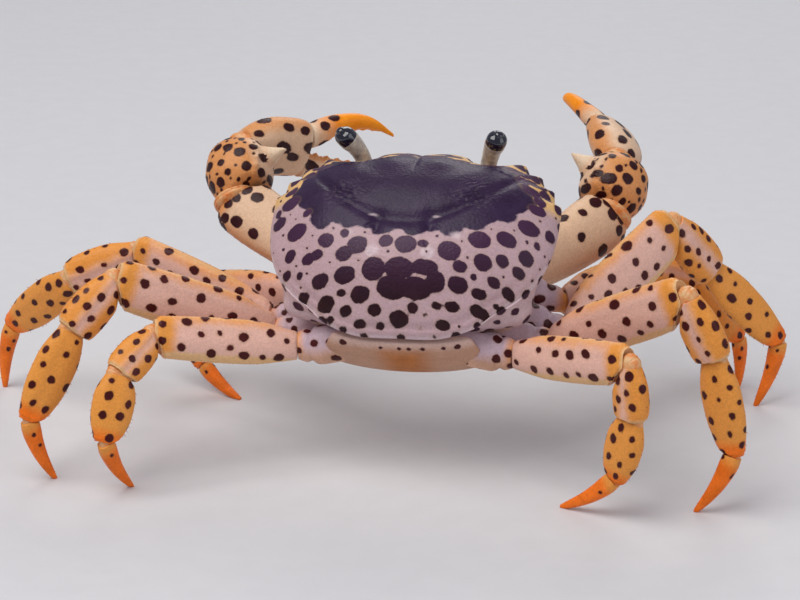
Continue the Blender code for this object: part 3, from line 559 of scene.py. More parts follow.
def curve_through(stations, values, at, calm=False):
    """A smooth curve through the values at the stations, which a calm one never overshoots."""
    stations = np.asarray(stations, float)
    values = np.asarray(values, float)
    shape = (-1,) + (1,) * (values.ndim - 1)
    steps = np.diff(stations).reshape(shape)
    slopes = np.diff(values, axis=0) / steps
    inner = (slopes[:-1] * steps[1:] + slopes[1:] * steps[:-1]) / (steps[:-1] + steps[1:])
    tangents = np.concatenate([slopes[:1], inner, slopes[-1:]])
    if calm:
        before = np.concatenate([slopes[:1], slopes])
        after = np.concatenate([slopes, slopes[-1:]])
        limit = 3 * np.minimum(np.abs(before), np.abs(after))
        tangents = np.where(before * after > 0, np.clip(tangents, -limit, limit), 0.0)
    index = np.clip(np.searchsorted(stations, at, side="right") - 1, 0, len(stations) - 2)
    part = ((at - stations[index]) / (stations[index + 1] - stations[index])).reshape(shape)
    square, cube = part ** 2, part ** 3
    rise = tangents[index] * steps[index] * (cube - 2 * square + part)
    fall = tangents[index + 1] * steps[index] * (cube - square)
    return values[index] * (2 * cube - 3 * square + 1) + values[index + 1] * (3 * square - 2 * cube) \
        + rise + fall


def loft(rings, rows):
    """More rings, evenly spaced on smooth curves through the given ones."""
    rings = np.asarray(rings, float)
    return curve_through(np.arange(len(rings)), rings, np.linspace(0, len(rings) - 1, rows))


def oval(sides, half_height, half_thickness, bulge=LIMB_BULGE):
    angles = np.linspace(0, 2 * math.pi, sides, endpoint=False)
    across = np.copysign(np.abs(np.cos(angles)) ** (2 / bulge), np.cos(angles))
    up = np.copysign(np.abs(np.sin(angles)) ** (2 / bulge), np.sin(angles))
    return across * half_thickness, up * half_height


def rolled_ends(rings, first_bulge, last_bulge):
    """Closes a stack of rings with smaller rings that bulge out or sink in, in millimetres."""
    start, end = rings[0].mean(0), rings[-1].mean(0)
    along_start = start - rings[2].mean(0)
    along_start /= np.linalg.norm(along_start)
    along_end = end - rings[-3].mean(0)
    along_end /= np.linalg.norm(along_end)
    turns = np.radians((18, 38, 58, 76))
    first = [start + (rings[0] - start) * math.cos(turn) + along_start * first_bulge * math.sin(turn)
             for turn in turns[::-1]]
    last = [end + (rings[-1] - end) * math.cos(turn) + along_end * last_bulge * math.sin(turn)
            for turn in turns]
    return np.concatenate([first, rings, last])


def padded_rows(values):
    """Repeats the first and last rows of a field for the rings that rolled_ends adds."""
    return np.concatenate([np.repeat(values[:1], 4, 0), values, np.repeat(values[-1:], 4, 0)])


def mesh_faces(rows, sides):
    """Quads round a stack of rings, and a fan of triangles over each end."""
    low = np.arange((rows - 1) * sides).reshape(rows - 1, sides)
    after = np.roll(low, -1, axis=1)
    quads = np.stack([low, after, after + sides, low + sides], axis=-1).reshape(-1, 4)
    side = np.arange(sides)
    ahead = (side + 1) % sides
    last = (rows - 1) * sides
    start, end = rows * sides, rows * sides + 1
    first_fan = np.stack([ahead, side, np.full(sides, start)], axis=-1)
    last_fan = np.stack([last + side, last + ahead, np.full(sides, end)], axis=-1)
    return quads, np.concatenate([first_fan, last_fan])


def signed_volume(points, quads, fans):
    triangles = np.concatenate([quads[:, [0, 1, 2]], quads[:, [0, 2, 3]], fans])
    a, b, c = (points[triangles[:, corner]] for corner in range(3))
    return float(np.einsum("ij,ij->i", a, np.cross(b, c)).sum()) / 6


def body_matrix():
    tilt = Matrix.Rotation(math.radians(BODY_YAW), 4, "Z")
    tilt = tilt @ Matrix.Rotation(math.radians(BODY_PITCH), 4, "X")
    tilt = tilt @ Matrix.Rotation(math.radians(BODY_ROLL), 4, "Y")
    return Matrix.Translation(BODY_PLACE) @ tilt


def carried(points, place):
    """Points of a piece's own frame in the frame of the floor, in millimetres."""
    return points @ np.array(place.to_3x3()).T + np.array(place.translation)


def add_surface(name, rings, place, fields, materials, slot, replaces, face_slots=None):
    """Makes a closed piece from rings in its own frame and lets it ride on the crab."""
    rows, sides, _ = rings.shape
    points = np.concatenate([rings.reshape(-1, 3), [rings[0].mean(0), rings[-1].mean(0)]])
    points = (carried(points, place) + SHIFT) * MM
    quads, fans = mesh_faces(rows, sides)
    if signed_volume(points, quads, fans) < 0:
        quads, fans = quads[:, ::-1], fans[:, ::-1]
    mesh = bpy.data.meshes.new(name)
    mesh.from_pydata(points.tolist(), [], quads.tolist() + fans.tolist())
    for field, values in fields.items():
        flat = np.concatenate([values.reshape(-1), [values[0].mean(), values[-1].mean()]])
        mesh.attributes.new(field, "FLOAT", "POINT").data.foreach_set("value", flat.astype(np.float32))
    for material in materials:
        mesh.materials.append(material)
    if face_slots is not None:
        numbers = np.repeat(face_slots, sides)
        ends = np.concatenate([np.full(sides, face_slots[0]), np.full(sides, face_slots[-1])])
        mesh.polygons.foreach_set("material_index", np.concatenate([numbers, ends]).astype(np.int32))
    mesh.shade_smooth()
    mesh.update()
    return add_piece(name, mesh, slot, replaces)


def add_closed(name, rings, bulges, place, fields, material, slot, replaces=()):
    """Adds a piece whose two ends bulge out or sink in by so many millimetres."""
    fields = {key: padded_rows(value) for key, value in fields.items()}
    return add_surface(name, rolled_ends(rings, *bulges), place, fields, [material], slot, replaces)


def add_piece(name, mesh, slot, replaces=()):
    piece = bpy.data.objects.new(name, mesh)
    bpy.context.scene.collection.objects.link(piece)
    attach(piece, "root")
    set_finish(piece, slot)
    if replaces:
        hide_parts(*replaces)
    return piece


def plain_fields(shape, **given):
    """Fields of a piece that is all ground colour, apart from the ones that are given."""
    fields = {name: np.full(shape, FAR) for name in ("deep", "edge", "rim", "spot")}
    fields.update(given)
    return fields


# Spots and bumps

def spot_sizes(settings):
    """The gap between spots and the radii of the smallest and largest, in millimetres."""
    return tuple(value / MM for value in (settings.spot_gap, settings.spot_small, settings.spot_large))


def spots_for(key, sizes):
    """The spot sizes of one kind of piece, from those in the settings."""
    return [size * share for size, share in zip(sizes, SPOT_SHARES[key])]


def sow_spots(places, sizes, seed, where=None, lean=None, squeeze=(0.72, 1.0), tries=1600):
    """Spots scattered over the places of a surface, no two closer than the gap."""
    gap, small, large = sizes
    points = places.reshape(-1, 3)
    chance = random.Random(seed)
    chosen = range(len(points)) if where is None else np.flatnonzero(where)
    order = [int(chosen[chance.randrange(len(chosen))]) for _ in range(tries)] if len(chosen) else []
    centres = np.empty((0, 3))
    spots = []
    for index in order:
        size = chance.random()
        apart = gap * (0.86 + 0.28 * size)
        if len(centres) and np.min(np.sum((centres - points[index]) ** 2, axis=1)) < apart * apart:
            continue
        centres = np.vstack([centres, points[index]])
        if lean is None:
            turn = chance.uniform(0, math.pi)
            heading = np.array((math.cos(turn), math.sin(turn), 0.0))
        else:
            turn = chance.uniform(-0.5, 0.5) * 6
            heading = np.asarray(lean, float) + 0.35 * np.array((0, math.cos(turn), math.sin(turn)))
            heading /= np.linalg.norm(heading)
        radius = small + (large - small) * (0.25 * size + 0.75 * chance.random() ** 0.8)
        spots.append((points[index].copy(), radius, heading, chance.uniform(*squeeze)))
    return spots


def spot_distance(places, spots):
    """How far each place lies outside the nearest spot, in millimetres; negative inside."""
    points = places.reshape(-1, 3)
    nearest = np.full(len(points), FAR)
    for centre, radius, heading, squeeze in spots:
        near = np.abs(points - centre).max(axis=1) < radius + FAR + 0.5
        away = points[near] - centre
        away = away + np.outer(away @ heading, heading) * (squeeze - 1.0)
        nearest[near] = np.minimum(nearest[near], np.linalg.norm(away, axis=1) - radius)
    return nearest.reshape(places.shape[:-1])


def raise_bumps(rings, bumps):
    """Pulls the surface out into pointed bumps: base, direction, radius, height and sharpness."""
    for base, lean, radius, height, power in bumps:
        away = rings - base
        along = away @ lean
        flat = np.linalg.norm(away - along[..., None] * lean, axis=-1)
        lift = np.clip(1.0 - flat / radius, 0.0, 1.0) ** power * height
        lift = np.where(along > -radius, lift, 0.0)
        rings = rings + lift[..., None] * lean
    return rings


# Materials

def feed(tree, node, inputs):
    """Gives a node its inputs, each a socket to link or a plain value."""
    for name, value in inputs.items():
        if isinstance(value, bpy.types.NodeSocket):
            tree.links.new(value, node.inputs[name])
        else:
            node.inputs[name].default_value = value


def add_node(tree, kind, inputs=None, **settings):
    made = tree.nodes.new(kind)
    for name, value in settings.items():
        setattr(made, name, value)
    feed(tree, made, inputs or {})
    return made


def new_group(name, kind, inputs, outputs):
    """An empty node group with named sockets, and its input and output nodes."""
    tree = bpy.data.node_groups.new(name, kind)
    for socket, socket_type, default in inputs:
        made = tree.interface.new_socket(name=socket, in_out="INPUT", socket_type=socket_type)
        if default is not None:
            made.default_value = default
    for socket, socket_type in outputs:
        tree.interface.new_socket(name=socket, in_out="OUTPUT", socket_type=socket_type)
    return tree, tree.nodes.new("NodeGroupInput"), tree.nodes.new("NodeGroupOutput")


def math_node(tree, operation, first, second=0.0):
    return add_node(tree, "ShaderNodeMath", {0: first, 1: second}, operation=operation).outputs[0]


def ranged(tree, value, low, high, to_low=0.0, to_high=1.0):
    """A value spread from one range to another."""
    return add_node(tree, "ShaderNodeMapRange", {
        "Value": value, "From Min": low, "From Max": high, "To Min": to_low, "To Max": to_high}).outputs[0]


def noise(tree, place, scale, detail, roughness, distortion=0.0, kind="FBM"):
    return add_node(tree, "ShaderNodeTexNoise", {
        "Vector": place, "Scale": scale, "Detail": detail, "Roughness": roughness,
        "Distortion": distortion}, noise_type=kind).outputs[0]


def patch_group():
    """A mask with a wandering edge, from a signed distance in millimetres."""
    found = bpy.data.node_groups.get("Shell Patch")
    if found:
        return found
    tree, given, result = new_group("Shell Patch", "ShaderNodeTree", (
        ("Distance", "NodeSocketFloat", 1.0), ("Wobble", "NodeSocketFloat", 0.3),
        ("Scale", "NodeSocketFloat", 1200.0), ("Softness", "NodeSocketFloat", 0.12),
    ), (("Mask", "NodeSocketFloat"),))
    distance, wobble, scale, softness = (given.outputs[name] for name in (
        "Distance", "Wobble", "Scale", "Softness"))
    place = add_node(tree, "ShaderNodeTexCoord").outputs["Object"]
    centred = math_node(tree, "SUBTRACT", noise(tree, place, scale, 3.0, 0.6), 0.5)
    edge = math_node(tree, "ADD", distance, math_node(tree, "MULTIPLY", centred, wobble))
    mask = add_node(tree, "ShaderNodeMapRange", {
        "Value": edge, "From Min": math_node(tree, "MULTIPLY", softness, -1.0), "From Max": softness,
        "To Min": 1.0, "To Max": 0.0}, interpolation_type="SMOOTHSTEP")
    feed(tree, result, {"Mask": mask.outputs[0]})
    return tree


def mottle_group():
    """Cloudy changes of tone and the height of fine pits and folds."""
    found = bpy.data.node_groups.get("Shell Mottle")
    if found:
        return found
    tree, given, result = new_group("Shell Mottle", "ShaderNodeTree", (
        ("Cloud Scale", "NodeSocketFloat", 260.0), ("Fleck Scale", "NodeSocketFloat", 2600.0),
        ("Pit Scale", "NodeSocketFloat", 2200.0), ("Fold Scale", "NodeSocketFloat", 420.0),
        ("Fold Strength", "NodeSocketFloat", 0.2),
    ), (("Cloud", "NodeSocketFloat"), ("Fleck", "NodeSocketFloat"), ("Height", "NodeSocketFloat")))
    place = add_node(tree, "ShaderNodeTexCoord").outputs["Object"]
    cloud = noise(tree, place, given.outputs["Cloud Scale"], 4.0, 0.62, 0.4)
    fleck = noise(tree, place, given.outputs["Fleck Scale"], 2.0, 0.7)
    pits = add_node(tree, "ShaderNodeTexVoronoi", {
        "Vector": place, "Scale": given.outputs["Pit Scale"]}, feature="SMOOTH_F1").outputs["Distance"]
    folds = noise(tree, place, given.outputs["Fold Scale"], 5.0, 0.6, 1.2, "RIDGED_MULTIFRACTAL")
    folds = math_node(tree, "MULTIPLY", folds, given.outputs["Fold Strength"])
    height = math_node(tree, "ADD", pits, folds)
    height = math_node(tree, "ADD", height, math_node(tree, "MULTIPLY", fleck, 0.35))
    feed(tree, result, {"Cloud": cloud, "Fleck": fleck, "Height": height})
    return tree


def mixed(tree, mask, first, second, blend="MIX"):
    """One colour laid over another by a mask; each is a socket or a plain colour."""
    colours = {6: first, 7: second}
    for key, value in colours.items():
        if not isinstance(value, bpy.types.NodeSocket):
            colours[key] = (*value[:3], 1.0)
    return add_node(tree, "ShaderNodeMix", {0: mask, **colours}, data_type="RGBA", blend_type=blend,
                    clamp_factor=True).outputs[2]


def new_material(name):
    material = bpy.data.materials.new(name)
    material.use_nodes = True
    return material, material.node_tree, material.node_tree.nodes["Principled BSDF"]


def shade(value, gain, lift=0.0):
    """A colour made lighter or darker."""
    return tuple(min(1.0, part * gain + lift) for part in value)


def field_distance_node(tree, field):
    return add_node(tree, "ShaderNodeAttribute", attribute_name=field).outputs["Fac"]


def field_mask(tree, field, wobble, scale, softness):
    """The mask of a distance field that the mesh carries."""
    return add_node(tree, "ShaderNodeGroup", {
        "Distance": field_distance_node(tree, field), "Wobble": wobble, "Scale": scale,
        "Softness": softness}, node_tree=patch_group()).outputs["Mask"]


def finish_shader(tree, shader, colour, mottle, rough_range, bump, depth):
    """Links the colour, the roughness and the fine relief of a surface to its shader."""
    dent = add_node(tree, "ShaderNodeBump", {
        "Height": mottle.outputs["Height"], "Strength": bump, "Distance": depth})
    feed(tree, shader, {
        "Base Color": colour, "Normal": dent.outputs[0],
        "Roughness": ranged(tree, mottle.outputs["Fleck"], 0.3, 0.7, *rough_range)})


def shell_material(name, colours, slate=None, deep_edge=(1.2, 500.0, 1.4), spot_edge=(0.68, 800.0, 0.13),
                   folds=0.25, bump=0.25, coat=0.06, sheen_rough=0.42):
    """Spotted crab shell: ground, borders, a deep patch, pale rims and dark spots."""
    material, tree, shader = new_material(name)
    ground, border, deep, rim, spot = colours
    mottle = add_node(tree, "ShaderNodeGroup", {"Fold Strength": folds}, node_tree=mottle_group())
    cloud, fleck = mottle.outputs["Cloud"], mottle.outputs["Fleck"]
    colour = mixed(tree, math_node(tree, "MULTIPLY", cloud, 0.9), ground, shade(ground, 0.80))
    colour = mixed(tree, field_mask(tree, "edge", 1.6, 420.0, 1.3), colour, border)
    # Lighter cloudy patches of the deep patch: on the carapace's dark field they are painted sheen, standing
    # in for the soft highlights of the wet shell, as well as varying its tone at random; on other pieces they
    # only vary the tone
    clouded_sheen = mixed(tree, ranged(tree, cloud, 0.38, 0.66), deep, shade(deep, 1.3, 0.006))
    colour = mixed(tree, field_mask(tree, "deep", *deep_edge), colour, clouded_sheen)
    # The rim mask paints pale rims, and on the carapace also the painted highlights on its creases
    colour = mixed(tree, field_mask(tree, "rim", 0.7, 700.0, 0.45), colour, rim)
    speck = math_node(tree, "MULTIPLY", math_node(tree, "SUBTRACT", fleck, 0.5), 0.5)
    tone = math_node(tree, "ADD", 1.0, speck)
    flat = add_node(tree, "ShaderNodeCombineColor", {0: tone, 1: tone, 2: tone}).outputs[0]
    colour = mixed(tree, 1.0, colour, flat, "MULTIPLY")
    halo = math_node(tree, "MULTIPLY", field_mask(tree, "spot", 0.4, 1300.0, 0.55), 0.45)
    colour = mixed(tree, halo, colour, tuple((a + b) * 0.5 for a, b in zip(border, spot)))
    worn = mixed(tree, ranged(tree, cloud, 0.5, 0.72), spot, shade(spot, 1.5, 0.004))
    if slate is not None:
        worn = mixed(tree, ranged(tree, field_distance_node(tree, "deep"), 1.0, 11.0, 1.0, 0.0), worn, slate)
    colour = mixed(tree, field_mask(tree, "spot", *spot_edge), colour, worn)
    finish_shader(tree, shader, colour, mottle, (sheen_rough - 0.07, sheen_rough + 0.10), bump, 0.00022)
    feed(tree, shader, {"Coat Weight": coat, "Coat Roughness": 0.30, "Specular IOR Level": 0.20})
    return material


def simple_material(name, colours, roughness, bump, coat=0.0):
    """A plain organic surface whose tone drifts between two colours."""
    material, tree, shader = new_material(name)
    mottle = add_node(tree, "ShaderNodeGroup", {"Cloud Scale": 900.0}, node_tree=mottle_group())
    colour = mixed(tree, ranged(tree, mottle.outputs["Cloud"], 0.36, 0.64), *colours)
    finish_shader(tree, shader, colour, mottle, (roughness - 0.05, roughness + 0.08), bump, 0.00015)
    feed(tree, shader, {"Coat Weight": coat, "Coat Roughness": 0.08})
    return material


def make_materials():
    """Makes every finish once and keeps it by its short name."""
    scene = bpy.context.scene
    shell, limb, claw = scene.crab_shell, scene.crab_limb, scene.crab_claw
    belly, face = scene.crab_belly, scene.crab_face
    shells = {
        "shell": ("carapace_shell",
                  (shell.ground, shell.edge, shell.field, shell.rim, shell.spot),
                  {"slate": shell.slate, "deep_edge": (1.3, 520.0, 0.22), "spot_edge": (0.7, 640.0, 0.12),
                   "folds": 0.45, "bump": 0.30}),
        "limb": ("leg_shell", (limb.ground, limb.edge, limb.tip, limb.rim, limb.spot), {}),
        "hip": ("hip_shell", (limb.hip, limb.edge, belly.plate, limb.rim, limb.spot), {}),
        "claw": ("claw_shell", (claw.ground, claw.edge, claw.tip, claw.rim, claw.spot), {}),
        "finger": ("finger_shell", (claw.ground, claw.tip, claw.tip, claw.rim, claw.spot), {"bump": 0.15}),
        "belly": ("belly_shell", (belly.plate, belly.pale, belly.blush, belly.seam, limb.spot),
                  {"deep_edge": (1.0, 300.0, 3.0), "coat": 0.05, "sheen_rough": 0.5}),
    }
    plain = {
        "skin": ("joint_skin", (belly.skin, limb.rim), 0.42, 0.5),
        "cornea": ("cornea", (face.cornea, face.cornea), 0.08, 0.04, 0.8),
        "stalk": ("eye_stalk", (face.stalk, face.stripe), 0.35, 0.2, 0.3),
        "feeler": ("feeler", (face.feeler, limb.rim), 0.38, 0.3, 0.2),
        "bristle": ("bristle", (limb.tip, belly.seam), 0.5, 0.1),
    }
    for key, (name, colours, changes) in shells.items():
        MATERIALS[key] = shell_material(name, colours, **changes)
    for key, values in plain.items():
        MATERIALS[key] = simple_material(*values)


def finish_of(key):
    """The material of a finish; the first call makes them all from the scene's settings."""
    if not MATERIALS:
        make_materials()
    return MATERIALS[key]


# The carapace

def margin_line():
    """The edge of the carapace seen from above, and 1 where a corner stays sharp."""
    half = np.array([(x, y) for x, y, _ in MARGIN_HALF])
    sharp = [bool(flag) for _, _, flag in MARGIN_HALF]
    right = []
    for index in range(len(half) - 1):
        before, start = half[max(index - 1, 0)], half[index]
        end, after = half[index + 1], half[min(index + 2, len(half) - 1)]
        for step in range(MARGIN_STEPS):
            part = step / MARGIN_STEPS
            if sharp[index] and sharp[index + 1]:
                right.append(start + (end - start) * part)
                continue
            right.append((start * 2 + (end - before) * part
                          + (before * 2 - start * 5 + end * 4 - after) * part ** 2
                          + (start * 3 - before - end * 3 + after) * part ** 3) / 2)
    right.append(half[-1])
    right = np.array(right)
    left = right[1:-1][::-1] * (-1, 1)
    return np.concatenate([right, left])


def softened(line):
    """The margin without its teeth."""
    for _ in range(SOFT_PASSES):
        line = (np.roll(line, 1, axis=0) + line * 2 + np.roll(line, -1, axis=0)) / 4
    return line


def mound(x, y, middle_x, middle_y, reach_x, reach_y, height):
    return height * hill(x, middle_x, reach_x) * hill(y, middle_y, reach_y)


def shell_relief(x, y):
    """How far the swellings, grooves, crests and creases raise the back, in millimetres."""
    x = np.abs(x)
    relief = np.zeros_like(x)
    for swelling in SHELL_SWELLINGS:
        relief += mound(x, y, *swelling)
    start, rise, width, depth = NECK_GROOVE
    relief -= depth * hill(y, start + rise * x * x, width) * (1 - smooth_step(15, 21, x))
    relief -= mound(x, y, *HEART_GROOVE)
    start, bend, width, height = BROW_CREST
    crest = hill(y, start - bend * x * x, width) * smooth_step(3.5, 5, x) * (1 - smooth_step(16, 18, x))
    relief += height * crest * (0.7 + 0.3 * np.sin(x * 5.0))
    creases = np.sin(x * 4.1 + 1.7 * np.sin(y * 2.3)) * np.sin(y * 4.7 + 1.3 * np.sin(x * 2.9))
    for *place, height in CRUMPLES:
        relief += mound(x, y, *place, height * creases)
    width, depth = FRONT_FURROW
    relief -= depth * hill(x, 0.0, width) * smooth_step(9, 13, y)
    middle_x, middle_y, radius, width, depth = MUSCLE_PITS
    relief -= depth * hill(np.hypot(x - middle_x, y - middle_y), radius, width)
    return relief


def wall_line(line, depth):
    """A margin line as the wall bears it at a depth: drawn in, tucked in front, swollen at the flanks."""
    front = smooth_step(-2, 12, line[:, 1])
    rear = smooth_step(12, 17, -line[:, 1])
    inset = 1.0 - depth * (WALL_INSET + FRONT_INSET * front)
    flare = FLANK_FLARE * hill(line[:, 1], *FLANK_PLACE) * hill(SHELL_BOTTOM * depth, *FLANK_LEVEL)
    x = line[:, 0] * inset + np.copysign(flare, line[:, 0])
    y = line[:, 1] * inset - FRONT_TUCK * depth * front + REAR_SILL * rear * min(1.0, depth * 2.5)
    return x, y - FLANK_LAG * flare


def shell_rings():
    """All rings of the carapace, from the middle of the back over the edge and down the wall."""
    margin = margin_line()
    soft = softened(margin)
    rings = []
    for scale in np.sin(np.linspace(0.02, 1.0, SHELL_ROWS) * math.pi / 2):
        sharpness = smooth_step(0.80, 1.0, scale)
        line = soft + (margin - soft) * sharpness
        x = line[:, 0] * scale
        y = line[:, 1] * scale + DOME_SHIFT * (1.0 - scale)
        dome = (1.0 - scale ** DOME_BELLY) ** DOME_EDGE
        drop = MARGIN_DROP * np.abs(line[:, 1] / 20.0) ** 3 * scale * scale
        rim = REAR_RIM * smooth_step(6, 14, -y) * hill(scale, 0.952, 0.018)
        z = SHELL_TOP * dome - drop - rim + shell_relief(x, y) * (1.0 - scale ** 8)
        rings.append(np.stack([x, y, z], axis=-1))
    top = len(rings)
    drop = MARGIN_DROP * np.abs(margin[:, 1] / 20.0) ** 3
    for depth in np.linspace(0.0, 1.0, WALL_ROWS + 1)[1:] ** 1.15:
        sharpness = 1.0 - smooth_step(0.0, 0.7, depth)
        line = soft + (margin - soft) * sharpness
        level = SHELL_BOTTOM * depth
        x, y = wall_line(line, depth)
        face = smooth_step(12, 15, line[:, 1])
        for aside, reach, height, rise, dent in FACE_DENTS:
            y = y - dent * face * hill(np.abs(line[:, 0]), aside, reach) * hill(level, height, rise)
        z = level + (-drop - level) * (1 - smooth_step(0.0, 0.22, depth)) * (drop > -level)
        rings.append(np.stack([x, y, z], axis=-1))
    return np.array(rings), top


def back_spot_distance(x, y):
    """How far each place on the back lies outside the spots of the list, in millimetres."""
    nearest = np.full(x.shape, FAR)
    for spot_x, spot_y, half_width, half_length in BACK_SPOTS:
        reach = np.hypot((x - spot_x) / half_width, (y - spot_y) / half_length) - 1.0
        nearest = np.minimum(nearest, reach * math.sqrt(half_width * half_length))
    return nearest


# How far each place on the back lies outside the pale glints, which are painted highlights on its creases
def crease_glint_distance(across, y):
    return np.minimum.reduce([
        np.hypot((across - middle_x) * wide, (y - middle_y) * long) - radius
        for middle_x, middle_y, wide, long, radius in CREASE_GLINTS])


def field_distance(x, y):
    """How far each place on the back lies behind the lobed border of the dark field."""
    nearest = FIELD_REAR + 0.0045 * x * x + 0.00003 * x ** 4 - y + 0.5
    for lobe_x, lobe_y, radius in FIELD_LOBES:
        nearest = np.minimum(nearest, np.hypot(x - lobe_x, y - lobe_y) - radius)
    return nearest


def shell_fields(rings, top):
    """Distances that place the carapace's field, borders, rims and spots."""
    x, y, level = rings[..., 0], rings[..., 1], rings[..., 2]
    across = np.abs(x)
    inward = np.linalg.norm(rings - rings[top - 1], axis=-1)
    inward[top:] = 0.0
    walls = np.arange(len(rings))[:, None] >= top
    front = BORDER_WIDTH - BORDER_NARROWING * smooth_step(5, 15, across) - inward
    deep = np.maximum(field_distance(x, y), front)
    deep[top:] = FAR
    warm = np.maximum(inward - 7.5, 5.0 - y)
    rear = np.maximum(np.abs(inward - 0.25) - 0.35, y + 5.0)
    flank = walls & (y < 8) & (level > SHELL_BOTTOM + 0.7)
    spots = sow_spots(rings, spot_sizes(bpy.context.scene.crab_shell), 12, flank, tries=1500)
    border = (inward < BORDER_WIDTH) & (inward > 0.3) & (y > 6.5) & (deep > 0.1)
    spots += sow_spots(rings, BORDER_SPOTS, 13, border, (1, 0, 0), (0.45, 0.65))
    nearest = np.minimum(spot_distance(rings, spots), np.where(walls, FAR, back_spot_distance(x, y)))
    lonely = (nearest > 0.9) & (deep > 0.8) & (inward > 1.0)
    flecks = sow_spots(rings, BACK_FLECKS, 14, lonely, tries=130)
    nearest = np.minimum(nearest, spot_distance(rings, flecks))
    grain = smooth_step(2.6, 0.6, inward) * smooth_step(3, 9, y) * np.where(walls, 0.6, 1.0)
    # The rim field holds the pale rear rim and the painted highlights on the creases
    return {"deep": deep, "edge": warm, "rim": np.minimum(rear, crease_glint_distance(across, y)), "spot": nearest,
            "grain": grain}


class CRAB_OT_carapace(bpy.types.Operator):
    """Builds the carapace with its lobes, grooves, teeth, eye sockets and spots"""

    bl_idname = "crab.carapace"
    bl_label = "Carapace"

    def execute(self, context):
        rings, top = shell_rings()
        add_surface("carapace_shell", rings, BODY, shell_fields(rings, top),
                    [finish_of("shell")], "shell", ("carapace",))
        return {"FINISHED"}


# The underside

def thorax_rings():
    """Rings of the breastplate, from under the wall of the shell down to the middle of its floor."""
    outline = np.stack(wall_line(softened(margin_line()), 1.0), axis=-1)[::3]
    rings = []
    for level, narrow, ahead, behind in THORAX_RINGS:
        keep = behind + (ahead - behind) * smooth_step(-4, 6, outline[:, 1])
        rings.append(np.stack([outline[:, 0] * narrow, outline[:, 1] * keep,
                               np.full(len(outline), level)], axis=-1))
    rings = loft(rings, THORAX_ROWS)
    shrink = np.linspace(0.92, 0.04, 16)
    base = rings[-1].mean(0)
    return np.concatenate([rings, [base + (rings[-1] - base) * part for part in shrink]])


class CRAB_OT_thorax(bpy.types.Operator):
    """Builds the breastplate with the grooves between its plates"""

    bl_idname = "crab.thorax"
    bl_label = "Thorax"

    def execute(self, context):
        rings = thorax_rings()
        y = rings[..., 1]
        seams = np.minimum.reduce([np.abs(y - middle) for middle in THORAX_SEAMS])
        under = smooth_step(-10.5, -12.5, rings[..., 2])
        rings[..., 2] += 0.45 * hill(seams, 0.0, 0.45) * under
        fields = plain_fields(y.shape, rim=np.maximum(seams - 0.2, 0.4 - under), edge=2.0 + y)
        add_surface("thorax_plate", rings, BODY, fields, [finish_of("belly")], "belly", ("thorax",))
        return {"FINISHED"}


def pleon_rings():
    """Rings of the folded tail, and how far through its own segment each of them lies."""
    rows = PLEON_SEGMENTS * PLEON_ROWS + 1
    spine = loft(PLEON_PATH, rows)
    ahead = unit(np.gradient(spine[:, :2], axis=0))
    outward = np.stack([ahead[:, 1], -ahead[:, 0]], axis=-1)
    inside = np.linspace(0, PLEON_SEGMENTS, rows) % 1.0
    swell = 1.0 - 0.16 * np.exp(-inside / 0.10) + 0.04 * inside
    width = 1.0 - 0.035 * np.exp(-inside / 0.08)
    turns = np.linspace(0, 2 * math.pi, PLEON_SIDES, endpoint=False)
    wide, thick = np.cos(turns), np.sin(turns)
    thick = np.copysign((1.0 - np.abs(wide) ** 3) ** (1 / 3), thick)
    rings = []
    for row in range(rows):
        across = wide * spine[row, 2] * width[row]
        out = thick * PLEON_THICK / 2 * swell[row]
        sag = PLEON_ARCH * (across / spine[row, 2]) ** 2
        flat = spine[row, :2] + outward[row] * (out - sag)[:, None]
        rings.append(np.stack([across, flat[:, 0], flat[:, 1]], axis=-1))
    return np.array(rings), inside


def pleon_fields(rings, closed, inside):
    """Distances that place the tail's blush, seams and dots, on its rings with both ends closed."""
    lip = rings[PLEON_DOT_ROW][:PLEON_SIDES // 2]
    dots = [(lip[np.argmin(np.abs(lip[:, 0] - x_dot))], radius, np.array((1.0, 0, 0)), 1.0)
            for x_dot, radius in PLEON_DOTS]
    flat = np.zeros(rings.shape[:2])
    row = padded_rows(flat + np.linspace(0, PLEON_SEGMENTS, len(rings))[:, None])
    seam = padded_rows(flat + np.minimum(inside, 1.0 - inside)[:, None] * 4.0 - 0.06)
    seam = np.where(row < 2.4, FAR, seam)
    middle = np.maximum(np.abs(closed[..., 0] - 0.6) - 3.8, (0.5 - row) * 6.0)
    return plain_fields(row.shape, deep=middle, edge=(row - 0.34) * 5.0, rim=seam,
                        spot=spot_distance(closed, dots))


class CRAB_OT_pleon(bpy.types.Operator):
    """Builds the folded tail with its seven overlapping segments"""

    bl_idname = "crab.pleon"
    bl_label = "Pleon"

    def execute(self, context):
        rings, inside = pleon_rings()
        closed = rolled_ends(rings, 0.3, 0.5)
        add_surface("pleon_plates", closed, BODY, pleon_fields(rings, closed, inside),
                    [finish_of("belly")], "belly", ("pleon",))
        return {"FINISHED"}


# The legs

def direction(side, forward, rise):
    forward = math.radians(forward)
    rise = math.radians(rise)
    out = math.cos(rise) * math.cos(forward)
    return Vector((side * out, math.cos(rise) * math.sin(forward), math.sin(rise)))


def frame_along(start, along, plane_normal):
    across = (plane_normal - along * plane_normal.dot(along)).normalized()
    up = along.cross(across)
    place = Matrix((along, across, up)).transposed().to_4x4()
    place.translation = start
    return place


def oval_ring(place, sides, half_height, half_thickness):
    """A ring of a round piece, across its way."""
    across, up = oval(sides, half_height, half_thickness, bulge=2.0)
    return carried(np.stack([np.zeros(sides), across, up], axis=-1), place)


def mitred_x(rings, normal, anchor):
    """How far along the piece a slanting cut lies, for each point of the rings."""
    gap = (anchor[1] - rings[..., 1]) * normal[1] + (anchor[2] - rings[..., 2]) * normal[2]
    return anchor[0] + gap / normal[0]


